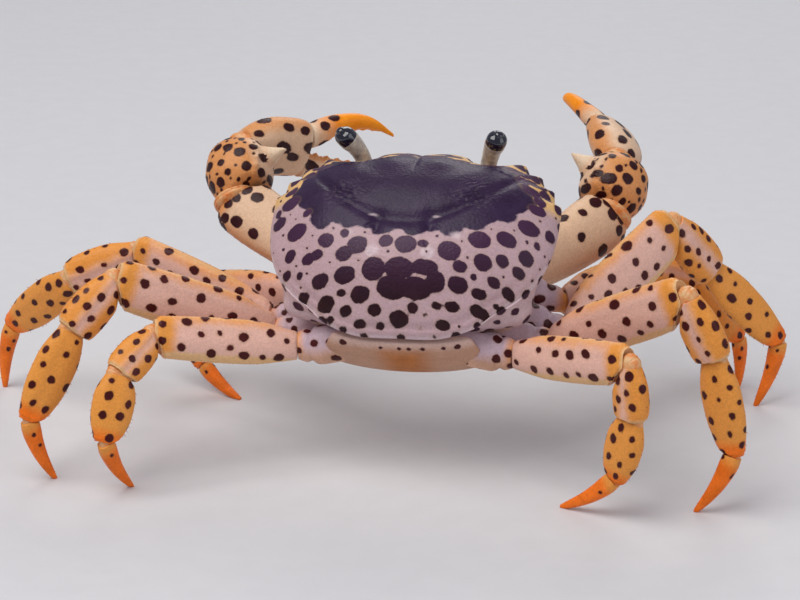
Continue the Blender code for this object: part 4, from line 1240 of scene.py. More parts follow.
def limb_rings(size, profile, sides, rows, cuts, place, bow=0.0):
    """Rings of a piece along its own x, cut where it meets its neighbours; no rows keeps the profile's."""
    length, height, thickness = size
    table = np.array(profile)
    if rows is None:
        stations, shape = table[:, 0], table[:, 1:]
    else:
        eased = (1 - np.cos(np.linspace(0, math.pi, rows))) / 2
        stations = 0.45 * eased + 0.55 * np.linspace(0, 1, rows)
        shape = curve_through(table[:, 0], table[:, 1:], stations, calm=True)
    across, up = oval(sides, height / 2, thickness / 2)
    rings = np.empty((len(stations), sides, 3))
    rings[..., 0] = stations[:, None] * length
    rings[..., 1] = across * shape[:, 1:2]
    rings[..., 2] = up * shape[:, 0:1] + (bow * length * np.sin(math.pi * stations))[:, None]
    back = np.array(place.to_3x3()).T
    start_cut, end_cut = (back @ np.array(cut) for cut in cuts)
    end = np.array((length, 0.0, 0.0))
    first = mitred_x(rings, start_cut, start_cut * HALF_GAP)
    last = mitred_x(rings, end_cut, end - end_cut * HALF_GAP)
    part = stations[:, None]
    low = first + (last - first) * part * BEND_SQUEEZE
    high = last - (last - first) * (1.0 - part) * BEND_SQUEEZE
    rings[..., 0] = np.minimum(np.maximum(rings[..., 0], low), high)
    return rings, stations


def hip_place(side, spot):
    return BODY @ Vector((spot[0] * side, spot[1], spot[2]))


def hip_rings(side, start, end, cut, plane_normal, size, grid):
    """The short piece at a limb's root, from inside the body to the first long piece."""
    height, thickness = size
    sides, rows = grid
    along = (end - start).normalized()
    inward = (BODY.to_3x3() @ Vector((-side, 0, HIP_RISE))).normalized()
    root = start + inward * HIP_ROOT
    table = (
        (root, -inward, 0.94, 1.0), (start, (along - inward).normalized(), 1.06, 1.08),
        (start.lerp(end, 0.30), along, 1.0, 1.0), (start.lerp(end, 0.46), along, 0.84, 0.88),
        (start.lerp(end, 0.68), along, 0.90, 0.92), (end, along, 0.72, 0.78),
    )
    rings = []
    for centre, heading, high, thick in table:
        place = frame_along(centre, heading, plane_normal)
        rings.append(oval_ring(place, sides, height / 2 * high, thickness / 2 * thick))
    rings = loft(rings, rows)
    anchor = np.array(end - cut * HALF_GAP)
    normal = np.array(cut)
    heading = np.array(along)
    slide = ((anchor - rings[-1]) @ normal) / float(heading @ normal)
    rings[-1] = rings[-1] + slide[:, None] * heading
    return rings


def leg_layout(kind, side_name):
    """Joints, directions and cuts of a walking leg, from its hip to its foot."""
    side = SIDES[side_name]
    sizes = LEG_SIZES[kind]
    pose = LEG_POSES[f"{kind}_{side_name}"]
    headings = [direction(side, forward, rise) for forward, rise in pose[:3]]
    plane_normal = headings[0].cross(headings[2]).normalized()
    hip_start, hip_end = hip_place(side, HIPS[kind]), hip_place(side, HIP_ENDS[kind])
    hip_cut = ((hip_end - hip_start).normalized() + headings[0]).normalized()
    hip = hip_rings(side, hip_start, hip_end, hip_cut, plane_normal, sizes["hip"], LEG_HIP_GRID)
    joints = [hip_end]
    for part, heading in zip(LEG_PARTS, headings):
        joints.append(joints[-1] + heading * sizes[part][0])
    rise = -math.degrees(math.asin(min(0.999, joints[-1].z / sizes["dactylus"][0])))
    headings.append(direction(side, pose[3], rise))
    cuts = [hip_cut] + [(a + b).normalized() for a, b in zip(headings, headings[1:])] + [headings[-1]]
    return hip, joints, headings, cuts, plane_normal


def find_shift():
    """How far the crab was moved to stand centred on the floor, from a leg that no cut touches."""
    _, joints, headings, cuts, normal = leg_layout("leg2", "right")
    place = frame_along(joints[0], headings[0], normal)
    rings, _ = limb_rings(LEG_SIZES["leg2"]["merus"], LIMB_PROFILES["merus"], CAD_LEG_SIDES, None,
                          cuts[:2], place)
    low = carried(rings.reshape(-1, 3), place).min(axis=0)
    return np.array(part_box("leg2_right_merus")[0]) / MM - low


def shape_leg_piece(part, rings, stations, size):
    """Keels, saw edges, rims and dimples of a leg piece, in its own frame."""
    length, height, thickness = size
    middle = rings.mean(axis=1, keepdims=True)
    up = (rings[..., 2] - middle[..., 2]) / (height / 2)
    across = (rings[..., 1] - middle[..., 1]) / (thickness / 2)
    along = stations[:, None]
    outward = rings - middle
    outward[..., 0] = 0.0
    outward = unit(outward)
    top_edge = smooth_step(0.72, 0.98, up)
    low_edge = smooth_step(0.78, 0.98, -up)
    lift = 0.10 * hill(along, 0.955, 0.02) - 0.13 * hill(along, 0.985, 0.012)
    if part == "merus":
        teeth = 0.5 + 0.5 * np.sin(along * length * 2 * math.pi / 0.75)
        fade = smooth_step(0.05, 0.2, along) * smooth_step(1.0, 0.9, along)
        lift = lift + top_edge * fade * (0.16 + 0.09 * teeth) + low_edge * fade * 0.05 * teeth
        lift = lift - 0.16 * hill(up, 0.35, 0.22) * smooth_step(0.15, 0.5, along) * np.abs(across)
    elif part == "carpus":
        lift = lift + 0.20 * hill(up, 0.25, 0.12) + 0.16 * top_edge - 0.10 * hill(up, 0.0, 0.12)
    elif part == "propodus":
        lift = lift + 0.14 * top_edge + 0.10 * low_edge - 0.14 * hill(up, 0.1, 0.25) * np.abs(across)
    elif part == "dactylus":
        lift = 0.09 * np.abs(np.sin(2 * np.arctan2(up, across))) * (1 - along * 0.7) - 0.04
    return rings + outward * np.asarray(lift)[..., None], up


def leg_fields(part, rings, stations, up, size, seed):
    """Distances that place a leg piece's orange, rims and spots."""
    length, height, _ = size
    x = rings[..., 0]
    along = stations[:, None] * length + np.zeros(up.shape)
    border = (1.0 - np.abs(up)) * height / 2
    rim = np.maximum(length - along - 0.45, -4.0)
    spotted = (x > 1.0) & (x < length - 0.8)
    fields = plain_fields(up.shape, edge=np.full(up.shape, COVERED))
    if part == "merus":
        fields["edge"] = np.minimum(np.where(up > 0, border - 0.7, 4.0), length - along - 3.6)
        fields["rim"] = np.minimum(rim, np.where(up < 0, border - 1.5, border - 0.1))
        spotted &= up > -0.62
    elif part == "carpus":
        fields.update(edge=border - 2.8, deep=np.maximum(border - 0.6, 1.0), rim=rim)
    else:
        fields["deep"] = length * (0.86 if part == "propodus" else 0.12) - along
    if part == "dactylus":
        spots = sow_spots(rings, FOOT_SPOTS, seed, (x > 0.8) & (x < length * 0.4), (1, 0, 0), tries=30)
    else:
        sizes = spots_for(part, spot_sizes(bpy.context.scene.crab_limb))
        spots = sow_spots(rings, sizes, seed, spotted, (1, 0, 0))
    fields["spot"] = spot_distance(rings, spots)
    fields["grain"] = smooth_step(0.80, 0.97, np.abs(up)) * (0.8 if part in ("merus", "carpus") else 0.4)
    return fields


def plant_bristles(place, rings, stations, part, seed):
    """Notes where the short bristles of a leg piece stand, which way they lean and how long they are."""
    chance = random.Random(seed)
    sides = rings.shape[1]
    lanes, count = BRISTLE_LANES[part]
    for lane in lanes:
        for step in range(count):
            station = 0.12 + 0.78 * (step + chance.uniform(0.1, 0.9)) / count
            row = min(int(np.searchsorted(stations, station)), len(stations) - 2)
            side = int(lane * sides + chance.uniform(-0.6, 0.6)) % sides
            root = rings[row, side]
            outward = root - rings[row].mean(axis=0)
            outward[0] = 0.0
            outward /= np.linalg.norm(outward)
            lean = outward + np.array((chance.uniform(0.6, 1.3), 0.0, 0.0))
            lean /= np.linalg.norm(lean)
            turned = np.array(place.to_3x3()) @ lean
            length = chance.uniform(0.6, 1.0) * (0.8 if part == "dactylus" else 1.0)
            base = carried(root - outward * 0.05, place)
            if base[2] + turned[2] * length > BRISTLE_CLEARANCE:
                BRISTLES.append((base, turned, length))


def set_foot(rings, place):
    """Lays the end of a foot flat on the floor and keeps the rest above it."""
    spots = carried(rings.reshape(-1, 3), place).reshape(rings.shape)
    spots[-1, :, 2] = 0.0
    spots[:-1, :, 2] = np.maximum(spots[:-1, :, 2], FOOT_CLEARANCE)
    back = np.array(place.to_3x3())
    return (spots - np.array(place.translation)) @ back


class CRAB_OT_legs(bpy.types.Operator):
    """Builds the eight walking legs, each of a hip and four long pieces"""

    bl_idname = "crab.legs"
    bl_label = "Legs"

    def execute(self, context):
        seed = 100
        for side_name in SIDES:
            for kind in LEG_KINDS:
                name = f"{kind}_{side_name}"
                hip, joints, headings, cuts, normal = leg_layout(kind, side_name)
                self.add_hip(name, hip, seed)
                for index, part in enumerate(LEG_PARTS):
                    seed += 1
                    size = LEG_SIZES[kind][part]
                    place = frame_along(joints[index], headings[index], normal)
                    self.add_part(name, part, size, place, cuts[index:index + 2], seed)
                    if index:
                        JOINTS.append((name, joints[index], cuts[index], normal, size))
        return {"FINISHED"}

    def add_hip(self, name, hip, seed):
        spots = sow_spots(hip, HIP_SPOTS, seed + 900, tries=120)
        row = np.arange(len(hip))[:, None] / len(hip) + np.zeros(hip.shape[:2])
        fields = plain_fields(row.shape, edge=(0.86 - row) * 8.0, spot=spot_distance(hip, spots),
                              grain=np.zeros(row.shape))
        if name.startswith("leg4"):
            fields["deep"] = hip[..., 2] - hip[..., 2].mean(axis=1, keepdims=True) + 0.4
        add_closed(f"{name}_hip_shell", hip, LEG_HIP_BULGES, Matrix.Identity(4), fields, finish_of("hip"),
                   "limb", (f"{name}_hip",))

    def add_part(self, name, part, size, place, cuts, seed):
        foot = part == "dactylus"
        rings, stations = limb_rings(size, LIMB_PROFILES[part], FOOT_SIDES if foot else LEG_SIDES,
                                     int(size[0] * LEG_ROWS) + 12, cuts, place, DACTYLUS_BOW * foot)
        rings, up = shape_leg_piece(part, rings, stations, size)
        fields = leg_fields(part, rings, stations, up, size, seed)
        if foot:
            rings = set_foot(rings, place)
        if part in BRISTLE_LANES:
            plant_bristles(place, rings, stations, part, seed)
        add_closed(f"{name}_{part}_shell", rings, FOOT_BULGES if foot else LEG_BULGES, place, fields,
                   finish_of("limb"), "limb", (f"{name}_{part}",))


# The claws

def station_rings(stations, places, sides):
    """Rings of the palm or a finger, between its stations."""
    table = np.array(stations)
    shape = curve_through(table[:, 0], table[:, 1:], places, calm=True)
    across, up = oval(sides, 0.5, 0.5, bulge=2.2)
    rings = np.empty((len(places), sides, 3))
    rings[..., 0] = places[:, None]
    rings[..., 1] = across * shape[:, 2:3]
    rings[..., 2] = shape[:, 0:1] + up * shape[:, 1:2]
    return rings, shape


def bent(rings, side, gape):
    """Opens a finger about its hinge and bends it to the inner side, towards its tip."""
    turn = np.array(Matrix.Rotation(math.radians(-gape), 3, "Y"))
    hinge = np.array((FINGER_HINGE[0], 0.0, FINGER_HINGE[1]))
    points = (rings - hinge) @ turn.T + hinge
    part = np.maximum(0.0, (points[..., 0] - BEND_START) / (PALM_STATIONS[-1][0] - BEND_START))
    points[..., 1] += side * FINGERS_BEND * part * part
    return points


def tooth_bumps(teeth, stations, up):
    """Blunt teeth along the gape of a finger."""
    height = bpy.context.scene.crab_claw.tooth_height / MM
    table = np.array(stations)
    bumps = []
    for x, share in teeth:
        middle = float(np.interp(x, table[:, 0], table[:, 1]))
        half = float(np.interp(x, table[:, 0], table[:, 2])) / 2
        base = np.array((x, 0.0, middle + up * half))
        bumps.append((base, np.array((0.0, 0.0, float(up))), 0.55 + 0.4 * share, height * share * 1.25, 0.9))
    return bumps


def thorn_bumps(place, side):
    """The thorn and the small knobs on the inner side of a wrist."""
    length, _, thickness = CLAW_SIZES["wrist"]
    reach = bpy.context.scene.crab_claw.thorn_length / MM
    inward = place.to_3x3().transposed() @ Vector((side * THORN_HEADING[0], *THORN_HEADING[1:]))
    inward.x = 0.0
    inward.normalize()
    lean = (inward + Vector((0.35, 0, 0))).normalized()
    base = Vector((length * THORN_STATION, 0, 0)) + inward * (thickness / 2 - 0.4)
    bumps = [(np.array(base), np.array(lean), THORN_RADIUS, reach, THORN_POWER)]
    turned = Matrix.Rotation(math.radians(side * KNOB_TURN), 3, "X") @ inward
    for step, share in KNOBS:
        spot = Vector((length * step, 0, 0)) + turned * (thickness / 2 - 0.3)
        bumps.append((np.array(spot), np.array(turned), 1.1, KNOB_HEIGHT * share, 1.1))
    return bumps


def arm_fields(rings, stations, size, sizes, seed):
    """Distances that place the spots and the orange border of a claw's arm."""
    x, up = rings[..., 0], rings[..., 2] / (size[1] / 2)
    along = stations[:, None] * size[0] + np.zeros(up.shape)
    spots = sow_spots(rings, spots_for("arm", sizes), seed + 1, x > size[0] * 0.5, (1, 0, 0))
    spots += sow_spots(rings, spots_for("arm_end", sizes), seed + 7, x > size[0] - 2.6, (0, 1, 0),
                       (0.5, 0.9))
    edge = np.minimum(size[0] - along - 1.6, np.where(up > 0, (1 - up) * 4 - 0.6, 4.0))
    return plain_fields(up.shape, edge=edge, spot=spot_distance(rings, spots),
                        grain=smooth_step(0.82, 0.97, np.abs(up)))


def wrist_fields(rings, raised, thorn, sizes, seed):
    """Distances that place the crowded spots of a wrist and the pale round about its thorn."""
    gap, small, _ = sizes
    spots = sow_spots(rings, spots_for("wrist", sizes), seed + 2, rings[..., 0] > 0.8, (0, 1, 0),
                      (0.35, 0.75))
    flecks = sow_spots(rings, (gap * 0.5, small * 0.35, small * 0.75), seed + 6,
                       spot_distance(rings, spots) > 0.5, squeeze=(0.35, 0.75))
    spots += flecks[:len(spots)]
    base, lean, _, height, _ = thorn
    rim = np.linalg.norm(raised - (base + lean * height), axis=-1) - 3.4
    return plain_fields(rim.shape, edge=3.6 - rim, rim=rim, grain=np.full(rim.shape, 0.35),
                        spot=np.where(rim < 0.5, 2.0, spot_distance(rings, spots)))


def palm_fields(rings, up, sizes, seed):
    """Distances that place the spots of a palm, its pale band and its orange fixed finger."""
    x = rings[..., 0]
    spots = sow_spots(rings, spots_for("palm", sizes), seed + 3, x < 16.5, (1, 0, 0), (0.5, 0.85))
    spots += sow_spots(rings, FIXED_FINGER_SPOTS, seed + 4, (x > 17) & (x < 22), (1, 0, 0), tries=60)
    return {"edge": np.minimum((1 - np.abs(up)) * 6 - 1.0, 24.0 - x), "deep": 26.5 - x,
            "rim": np.maximum(np.abs(x - 14.2) - 0.45, -up * 2.0), "grain": smooth_step(0.8, 0.98, up),
            "spot": spot_distance(rings, spots)}


class CRAB_OT_claws(bpy.types.Operator):
    """Builds both claws: hip, arm, wrist, palm with its fixed finger, and moving finger"""

    bl_idname = "crab.claws"
    bl_label = "Claws"

    def execute(self, context):
        sizes = spot_sizes(context.scene.crab_claw)
        for side_name, side in SIDES.items():
            self.build(f"claw_{side_name}", side, sizes, 300 + side)
        return {"FINISHED"}

    def add_part(self, name, part, rings, place, fields):
        key = "finger" if part == "finger" else "claw"
        bulges = TIP_BULGES if part in ("palm", "finger") else CLAW_BULGES
        fields.setdefault("grain", np.zeros(rings.shape[:2]))
        add_closed(f"{name}_{part}_shell", rings, bulges, place, fields, finish_of(key), key,
                   (f"{name}_{part}",))

    def build(self, name, side, sizes, seed):
        headings = [direction(side, *CLAW_POSES[name][part]) for part in CLAW_PARTS]
        normal = headings[1].cross(headings[2]).normalized()
        cuts = [(a + b).normalized() for a, b in zip(headings, headings[1:])]
        start = self.build_hip(name, side, headings[0], cuts[0], normal, seed)
        for index, part in enumerate(("arm", "wrist")):
            size = CLAW_SIZES[part]
            place = frame_along(start, headings[index + 1], normal)
            rings, stations = limb_rings(size, LIMB_PROFILES[part], ARM_SIDES,
                                         int(size[0] * ARM_ROWS) + 16, cuts[index:index + 2], place)
            if part == "arm":
                fields = arm_fields(rings, stations, size, sizes, seed)
            else:
                JOINTS.append((name, start, cuts[index], normal, size))
                bumps = thorn_bumps(place, side)
                raised = raise_bumps(rings, bumps)
                fields = wrist_fields(rings, raised, bumps[0], sizes, seed)
                rings = raised
            self.add_part(name, part, rings, place, fields)
            start = start + headings[index + 1] * size[0]
        JOINTS.append((name, start, cuts[2], normal, PALM_ROOT))
        level = Vector((0, 0, 1)).cross(headings[3]).normalized()
        turn = math.radians(side * CLAW_POSES[name]["turn"])
        place = frame_along(start, headings[3], Matrix.Rotation(turn, 3, headings[3]) @ level)
        self.build_palm(name, side, place, cuts[2], sizes, seed)
        self.build_finger(name, side, place, seed)

    def build_hip(self, name, side, heading, cut, normal, seed):
        """Adds the hip and tells where the arm starts."""
        length, *size = CLAW_SIZES["hip"]
        root = hip_place(side, HIPS["claw"])
        start = root + heading * length
        hip = hip_rings(side, root, start, cut, normal, size, CLAW_HIP_GRID)
        spots = sow_spots(hip, CLAW_HIP_SPOTS, seed, tries=60)
        fields = plain_fields(hip.shape[:2], spot=spot_distance(hip, spots))
        self.add_part(name, "hip", hip, Matrix.Identity(4), fields)
        return start

    def build_palm(self, name, side, place, cut, sizes, seed):
        places = np.concatenate([np.linspace(*run) for run in PALM_ROWS])
        rings, shape = station_rings(PALM_STATIONS, places, PALM_SIDES)
        up = (rings[..., 2] - shape[:, 0:1]) / (shape[:, 1:2] / 2)
        normal = np.array(place.to_3x3()).T @ np.array(cut)
        first = mitred_x(rings, normal, normal * HALF_GAP)
        rings[..., 0] = np.maximum(rings[..., 0], first + rings[..., 0] * BEND_SQUEEZE)
        fields = palm_fields(rings, up, sizes, seed)
        rings = bent(raise_bumps(rings, tooth_bumps(FIXED_TEETH, PALM_STATIONS, 1)), side, 0.0)
        self.add_part(name, "palm", rings, place, fields)

    def build_finger(self, name, side, place, seed):
        sides, rows = FINGER_GRID
        places = np.linspace(FINGER_STATIONS[0][0], FINGER_STATIONS[-1][0], rows)
        rings, _ = station_rings(FINGER_STATIONS, places, sides)
        x = rings[..., 0]
        spots = sow_spots(rings, FINGER_SPOTS, seed + 5, (x > 16) & (x < 21.5), (1, 0, 0), tries=90)
        fields = {"edge": (18.0 - x) * 0.5, "deep": 21.0 - x, "rim": x - 15.7,
                  "spot": spot_distance(rings, spots)}
        rings = raise_bumps(rings, tooth_bumps(MOVING_TEETH, FINGER_STATIONS, -1))
        rings = bent(rings, side, CLAW_POSES[name]["gape"])
        self.add_part(name, "finger", rings, place, fields)


# Joint skin, face and mouth

class CRAB_OT_joint_skin(bpy.types.Operator):
    """Fills the joints of the limbs with soft skin"""

    bl_idname = "crab.joint_skin"
    bl_label = "Joint Skin"

    def execute(self, context):
        sides, rows = SKIN_GRID
        for number, (name, joint, cut, normal, size) in enumerate(JOINTS):
            place = frame_along(joint, cut, normal)
            rings = []
            for x, share in SKIN_PROFILE:
                across, up = oval(sides, size[1] / 2 * share, size[2] / 2 * share * 1.06)
                rings.append(np.stack([np.full(sides, x), across, up], axis=-1))
            add_closed(f"{name}_skin_{number}", loft(rings, rows), (0.3, 0.3), place, {},
                       finish_of("skin"), "membrane")
        return {"FINISHED"}


def tube_rings(path, radii, side, grid, flat=1.0):
    """Rings round a bent path in the body's frame."""
    sides, rows = grid
    table = np.array([(x * side, y, z, radius) for (x, y, z), radius in zip(path, radii)])
    fine = loft(table, rows)
    ahead = np.gradient(fine[:, :3], axis=0)
    rings = []
    for row in range(rows):
        along = Vector(ahead[row]).normalized()
        place = frame_along(Vector(fine[row, :3]), along, Vector((1, 0, 0)))
        rings.append(oval_ring(place, sides, fine[row, 3] * flat, fine[row, 3]))
    return np.array(rings)


class CRAB_OT_eyes(bpy.types.Operator):
    """Builds the two eyes, each a pale stalk with a dark glossy cap"""

    bl_idname = "crab.eyes"
    bl_label = "Eyes"

    def execute(self, context):
        materials = [finish_of("stalk"), finish_of("cornea")]
        for side_name, side in SIDES.items():
            lean = EYE_LEAN[side_name]
            path = [(x + lean * float(smooth_step(0, 6, z)), y, z) for x, y, z in EYE_PATH]
            rings = rolled_ends(tube_rings(path, EYE_RADII, side, EYE_GRID), 0.2, 0.45)
            rows = len(rings) - 1
            slots = (np.arange(rows) / rows > 0.66).astype(int)
            add_surface(f"eye_{side_name}_ball", rings, BODY, {}, materials, "eye", (f"eye_{side_name}",),
                        face_slots=slots)
        return {"FINISHED"}


class CRAB_OT_feelers(bpy.types.Operator):
    """Builds the long and the short feelers, ringed to their tips"""

    bl_idname = "crab.feelers"
    bl_label = "Feelers"

    def execute(self, context):
        row = np.arange(FEELER_GRID[1])[:, None, None]
        ripple = 1.0 + 0.07 * np.sin(row * 0.9) * smooth_step(60, 90, row)
        for side_name, side in SIDES.items():
            for label, path, radii in (("antenna", ANTENNA_PATH, ANTENNA_RADII),
                                       ("antennule", ANTENNULE_PATH, ANTENNULE_RADII)):
                rings = tube_rings(path, radii, side, FEELER_GRID)
                middle = rings.mean(axis=1, keepdims=True)
                stands_for = (f"antenna_{side_name}",) if label == "antenna" else ()
                add_closed(f"{label}_{side_name}_feeler", middle + (rings - middle) * ripple, (0.1, 0.1),
                           BODY, {}, finish_of("feeler"), "limb", stands_for)
        return {"FINISHED"}


def mouth_plate(side):
    """Rings and fields of a plate over the mouth, with a groove along it and a suture across."""
    flat = MOUTH_THICK / 2 / max(MOUTH_HALF_WIDTHS)
    rings = tube_rings(MOUTH_PATH, MOUTH_HALF_WIDTHS, side, MOUTH_GRID, flat)
    middle = rings.mean(axis=1, keepdims=True)
    across = (rings[..., 0] - middle[..., 0]) * side
    row = np.linspace(0, 1, len(rings))[:, None]
    groove = MOUTH_CUT * hill(across, MOUTH_GROOVE, 0.35) * smooth_step(0.2, 0.35, row)
    suture = MOUTH_CUT * hill(row, MOUTH_SUTURE, 0.012)
    outward = unit(rings - middle)
    front = smooth_step(-0.2, 0.5, outward[..., 1])
    seam = np.minimum(np.abs(across - MOUTH_GROOVE), np.abs(row - MOUTH_SUTURE) * 12) - 0.12
    return (rings - outward * ((groove + suture) * front)[..., None],
            plain_fields(across.shape, rim=np.maximum(seam, 0.5 - front)))


class CRAB_OT_mouth(bpy.types.Operator):
    """Builds the two plates that close over the mouth"""

    bl_idname = "crab.mouth"
    bl_label = "Mouth Plates"

    def execute(self, context):
        for side_name, side in SIDES.items():
            rings, fields = mouth_plate(side)
            add_closed(f"maxilliped_{side_name}_plate", rings, (0.3, 0.2), BODY, fields,
                       finish_of("belly"), "belly", (f"maxilliped_{side_name}",))
        return {"FINISHED"}


# Grains and bristles

def end_growth(tree, given, result, copies):
    """Turns the copies into one real mesh of the given material, as a tree's result."""
    real = add_node(tree, "GeometryNodeRealizeInstances", {"Geometry": copies.outputs[0]})
    done = add_node(tree, "GeometryNodeSetMaterial", {
        "Geometry": real.outputs[0], "Material": given.outputs["Material"]})
    feed(tree, result, {"Geometry": done.outputs[0]})
    return tree


def grain_tree():
    """Scatters small rounded grains where the surface's grain field asks for them."""
    tree, given, result = new_group("Shell Grains", "GeometryNodeTree", (
        ("Geometry", "NodeSocketGeometry", None), ("Density", "NodeSocketFloat", 1.0),
        ("Radius", "NodeSocketFloat", 0.0002), ("Seed", "NodeSocketInt", 0),
        ("Material", "NodeSocketMaterial", None)), (("Geometry", "NodeSocketGeometry"),))
    seed = given.outputs["Seed"]
    field = add_node(tree, "GeometryNodeInputNamedAttribute", {"Name": "grain"}, data_type="FLOAT")
    points = add_node(tree, "GeometryNodeDistributePointsOnFaces", {
        "Mesh": given.outputs["Geometry"], "Seed": seed,
        "Density": math_node(tree, "MULTIPLY", field.outputs[0], given.outputs["Density"])})
    size = add_node(tree, "FunctionNodeRandomValue", {2: 0.45, 3: 1.0, "Seed": seed}, data_type="FLOAT")
    ball = add_node(tree, "GeometryNodeMeshIcoSphere", {
        "Radius": given.outputs["Radius"], "Subdivisions": 2})
    smooth = add_node(tree, "GeometryNodeSetShadeSmooth", {"Geometry": ball.outputs[0]})
    flat = add_node(tree, "GeometryNodeTransform", {"Geometry": smooth.outputs[0], "Scale": GRAIN_SQUASH})
    return end_growth(tree, given, result, add_node(tree, "GeometryNodeInstanceOnPoints", {
        "Points": points.outputs["Points"], "Instance": flat.outputs[0],
        "Rotation": points.outputs["Rotation"], "Scale": size.outputs[1]}))


def bristle_tree():
    """Stands a tapering bristle on each point, along the point's lean."""
    tree, given, result = new_group("Bristles", "GeometryNodeTree", (
        ("Geometry", "NodeSocketGeometry", None), ("Length", "NodeSocketFloat", 0.001),
        ("Radius", "NodeSocketFloat", 0.0001), ("Material", "NodeSocketMaterial", None)),
        (("Geometry", "NodeSocketGeometry"),))
    points = add_node(tree, "GeometryNodeMeshToPoints", {"Mesh": given.outputs["Geometry"]})
    lean = add_node(tree, "GeometryNodeInputNamedAttribute", {"Name": "lean"}, data_type="FLOAT_VECTOR")
    share = add_node(tree, "GeometryNodeInputNamedAttribute", {"Name": "share"}, data_type="FLOAT")
    turn = add_node(tree, "FunctionNodeAlignRotationToVector", {"Vector": lean.outputs[0]}, axis="Z")
    cone = add_node(tree, "GeometryNodeMeshCone", {
        "Vertices": 6, "Side Segments": 3, "Radius Top": BRISTLE_TIP * MM,
        "Radius Bottom": given.outputs["Radius"], "Depth": given.outputs["Length"]})
    smooth = add_node(tree, "GeometryNodeSetShadeSmooth", {"Geometry": cone.outputs[0]})
    return end_growth(tree, given, result, add_node(tree, "GeometryNodeInstanceOnPoints", {
        "Points": points.outputs[0], "Instance": smooth.outputs[0], "Rotation": turn.outputs[0],
        "Scale": share.outputs[0]}))


def grown_mesh(source, tree, values):
    """The plain mesh that a geometry tree makes of an object."""
    modifier = source.modifiers.new("grow", "NODES")
    modifier.node_group = tree
    for item in tree.interface.items_tree:
        if item.item_type == "SOCKET" and item.in_out == "INPUT" and item.name in values:
            modifier[item.identifier] = values[item.name]
    view = bpy.context.evaluated_depsgraph_get()
    view.update()
    mesh = bpy.data.meshes.new_from_object(source.evaluated_get(view))
    source.modifiers.remove(modifier)
    return mesh


class CRAB_OT_grains(bpy.types.Operator):
    """Scatters fine grains over the front edge, the teeth and the ridges of the limbs"""

    bl_idname = "crab.grains"
    bl_label = "Shell Grains"

    def execute(self, context):
        settings = context.scene.crab_hair
        tree = grain_tree()
        grown = {}
        for piece in list(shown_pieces()):
            slot = piece.get("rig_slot")
            if slot not in GRAIN_SIZES or "grain" not in piece.data.attributes or "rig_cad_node" in piece:
                continue
            mesh = grown_mesh(piece, tree, {
                "Density": settings.grain_count / MM ** 2, "Radius": settings.grain_size * GRAIN_SIZES[slot],
                "Seed": settings.seed, "Material": piece.data.materials[0]})
            if mesh.polygons:
                grown.setdefault(slot, []).append(mesh)
            else:
                bpy.data.meshes.remove(mesh)
        for slot, meshes in grown.items():
            join_meshes(f"{slot}_grains", meshes, slot)
        return {"FINISHED"}


def join_meshes(name, meshes, slot):
    """One piece made of several meshes that keep their fields and finish."""
    holders = [bpy.data.objects.new(f"{name}_{index}", mesh) for index, mesh in enumerate(meshes)]
    for holder in holders:
        bpy.context.scene.collection.objects.link(holder)
    with bpy.context.temp_override(active_object=holders[0], selected_editable_objects=holders,
                                   object=holders[0], selected_objects=holders):
        if len(holders) > 1:
            bpy.ops.object.join()
    piece = holders[0]
    piece.name = name
    piece.data.name = name
    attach(piece, "root")
    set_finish(piece, slot)
    return piece


class CRAB_OT_bristles(bpy.types.Operator):
    """Sets short bristles on the feet and the outer pieces of the legs"""

    bl_idname = "crab.bristles"
    bl_label = "Bristles"

    def execute(self, context):
        settings = context.scene.crab_hair
        roots, leans, shares = (np.array(values) for values in zip(*BRISTLES))
        mesh = bpy.data.meshes.new("bristle_roots")
        mesh.from_pydata(((roots + SHIFT) * MM).tolist(), [], [])
        mesh.attributes.new("lean", "FLOAT_VECTOR", "POINT").data.foreach_set("vector", leans.reshape(-1))
        mesh.attributes.new("share", "FLOAT", "POINT").data.foreach_set("value", shares)
        holder = bpy.data.objects.new("bristle_roots", mesh)
        context.scene.collection.objects.link(holder)
        grown = grown_mesh(holder, bristle_tree(), {
            "Length": settings.bristle_length, "Radius": settings.bristle_width,
            "Material": finish_of("bristle")})
        bpy.data.objects.remove(holder, do_unlink=True)
        add_piece("leg_bristles", grown, "limb")
        return {"FINISHED"}


# The stage

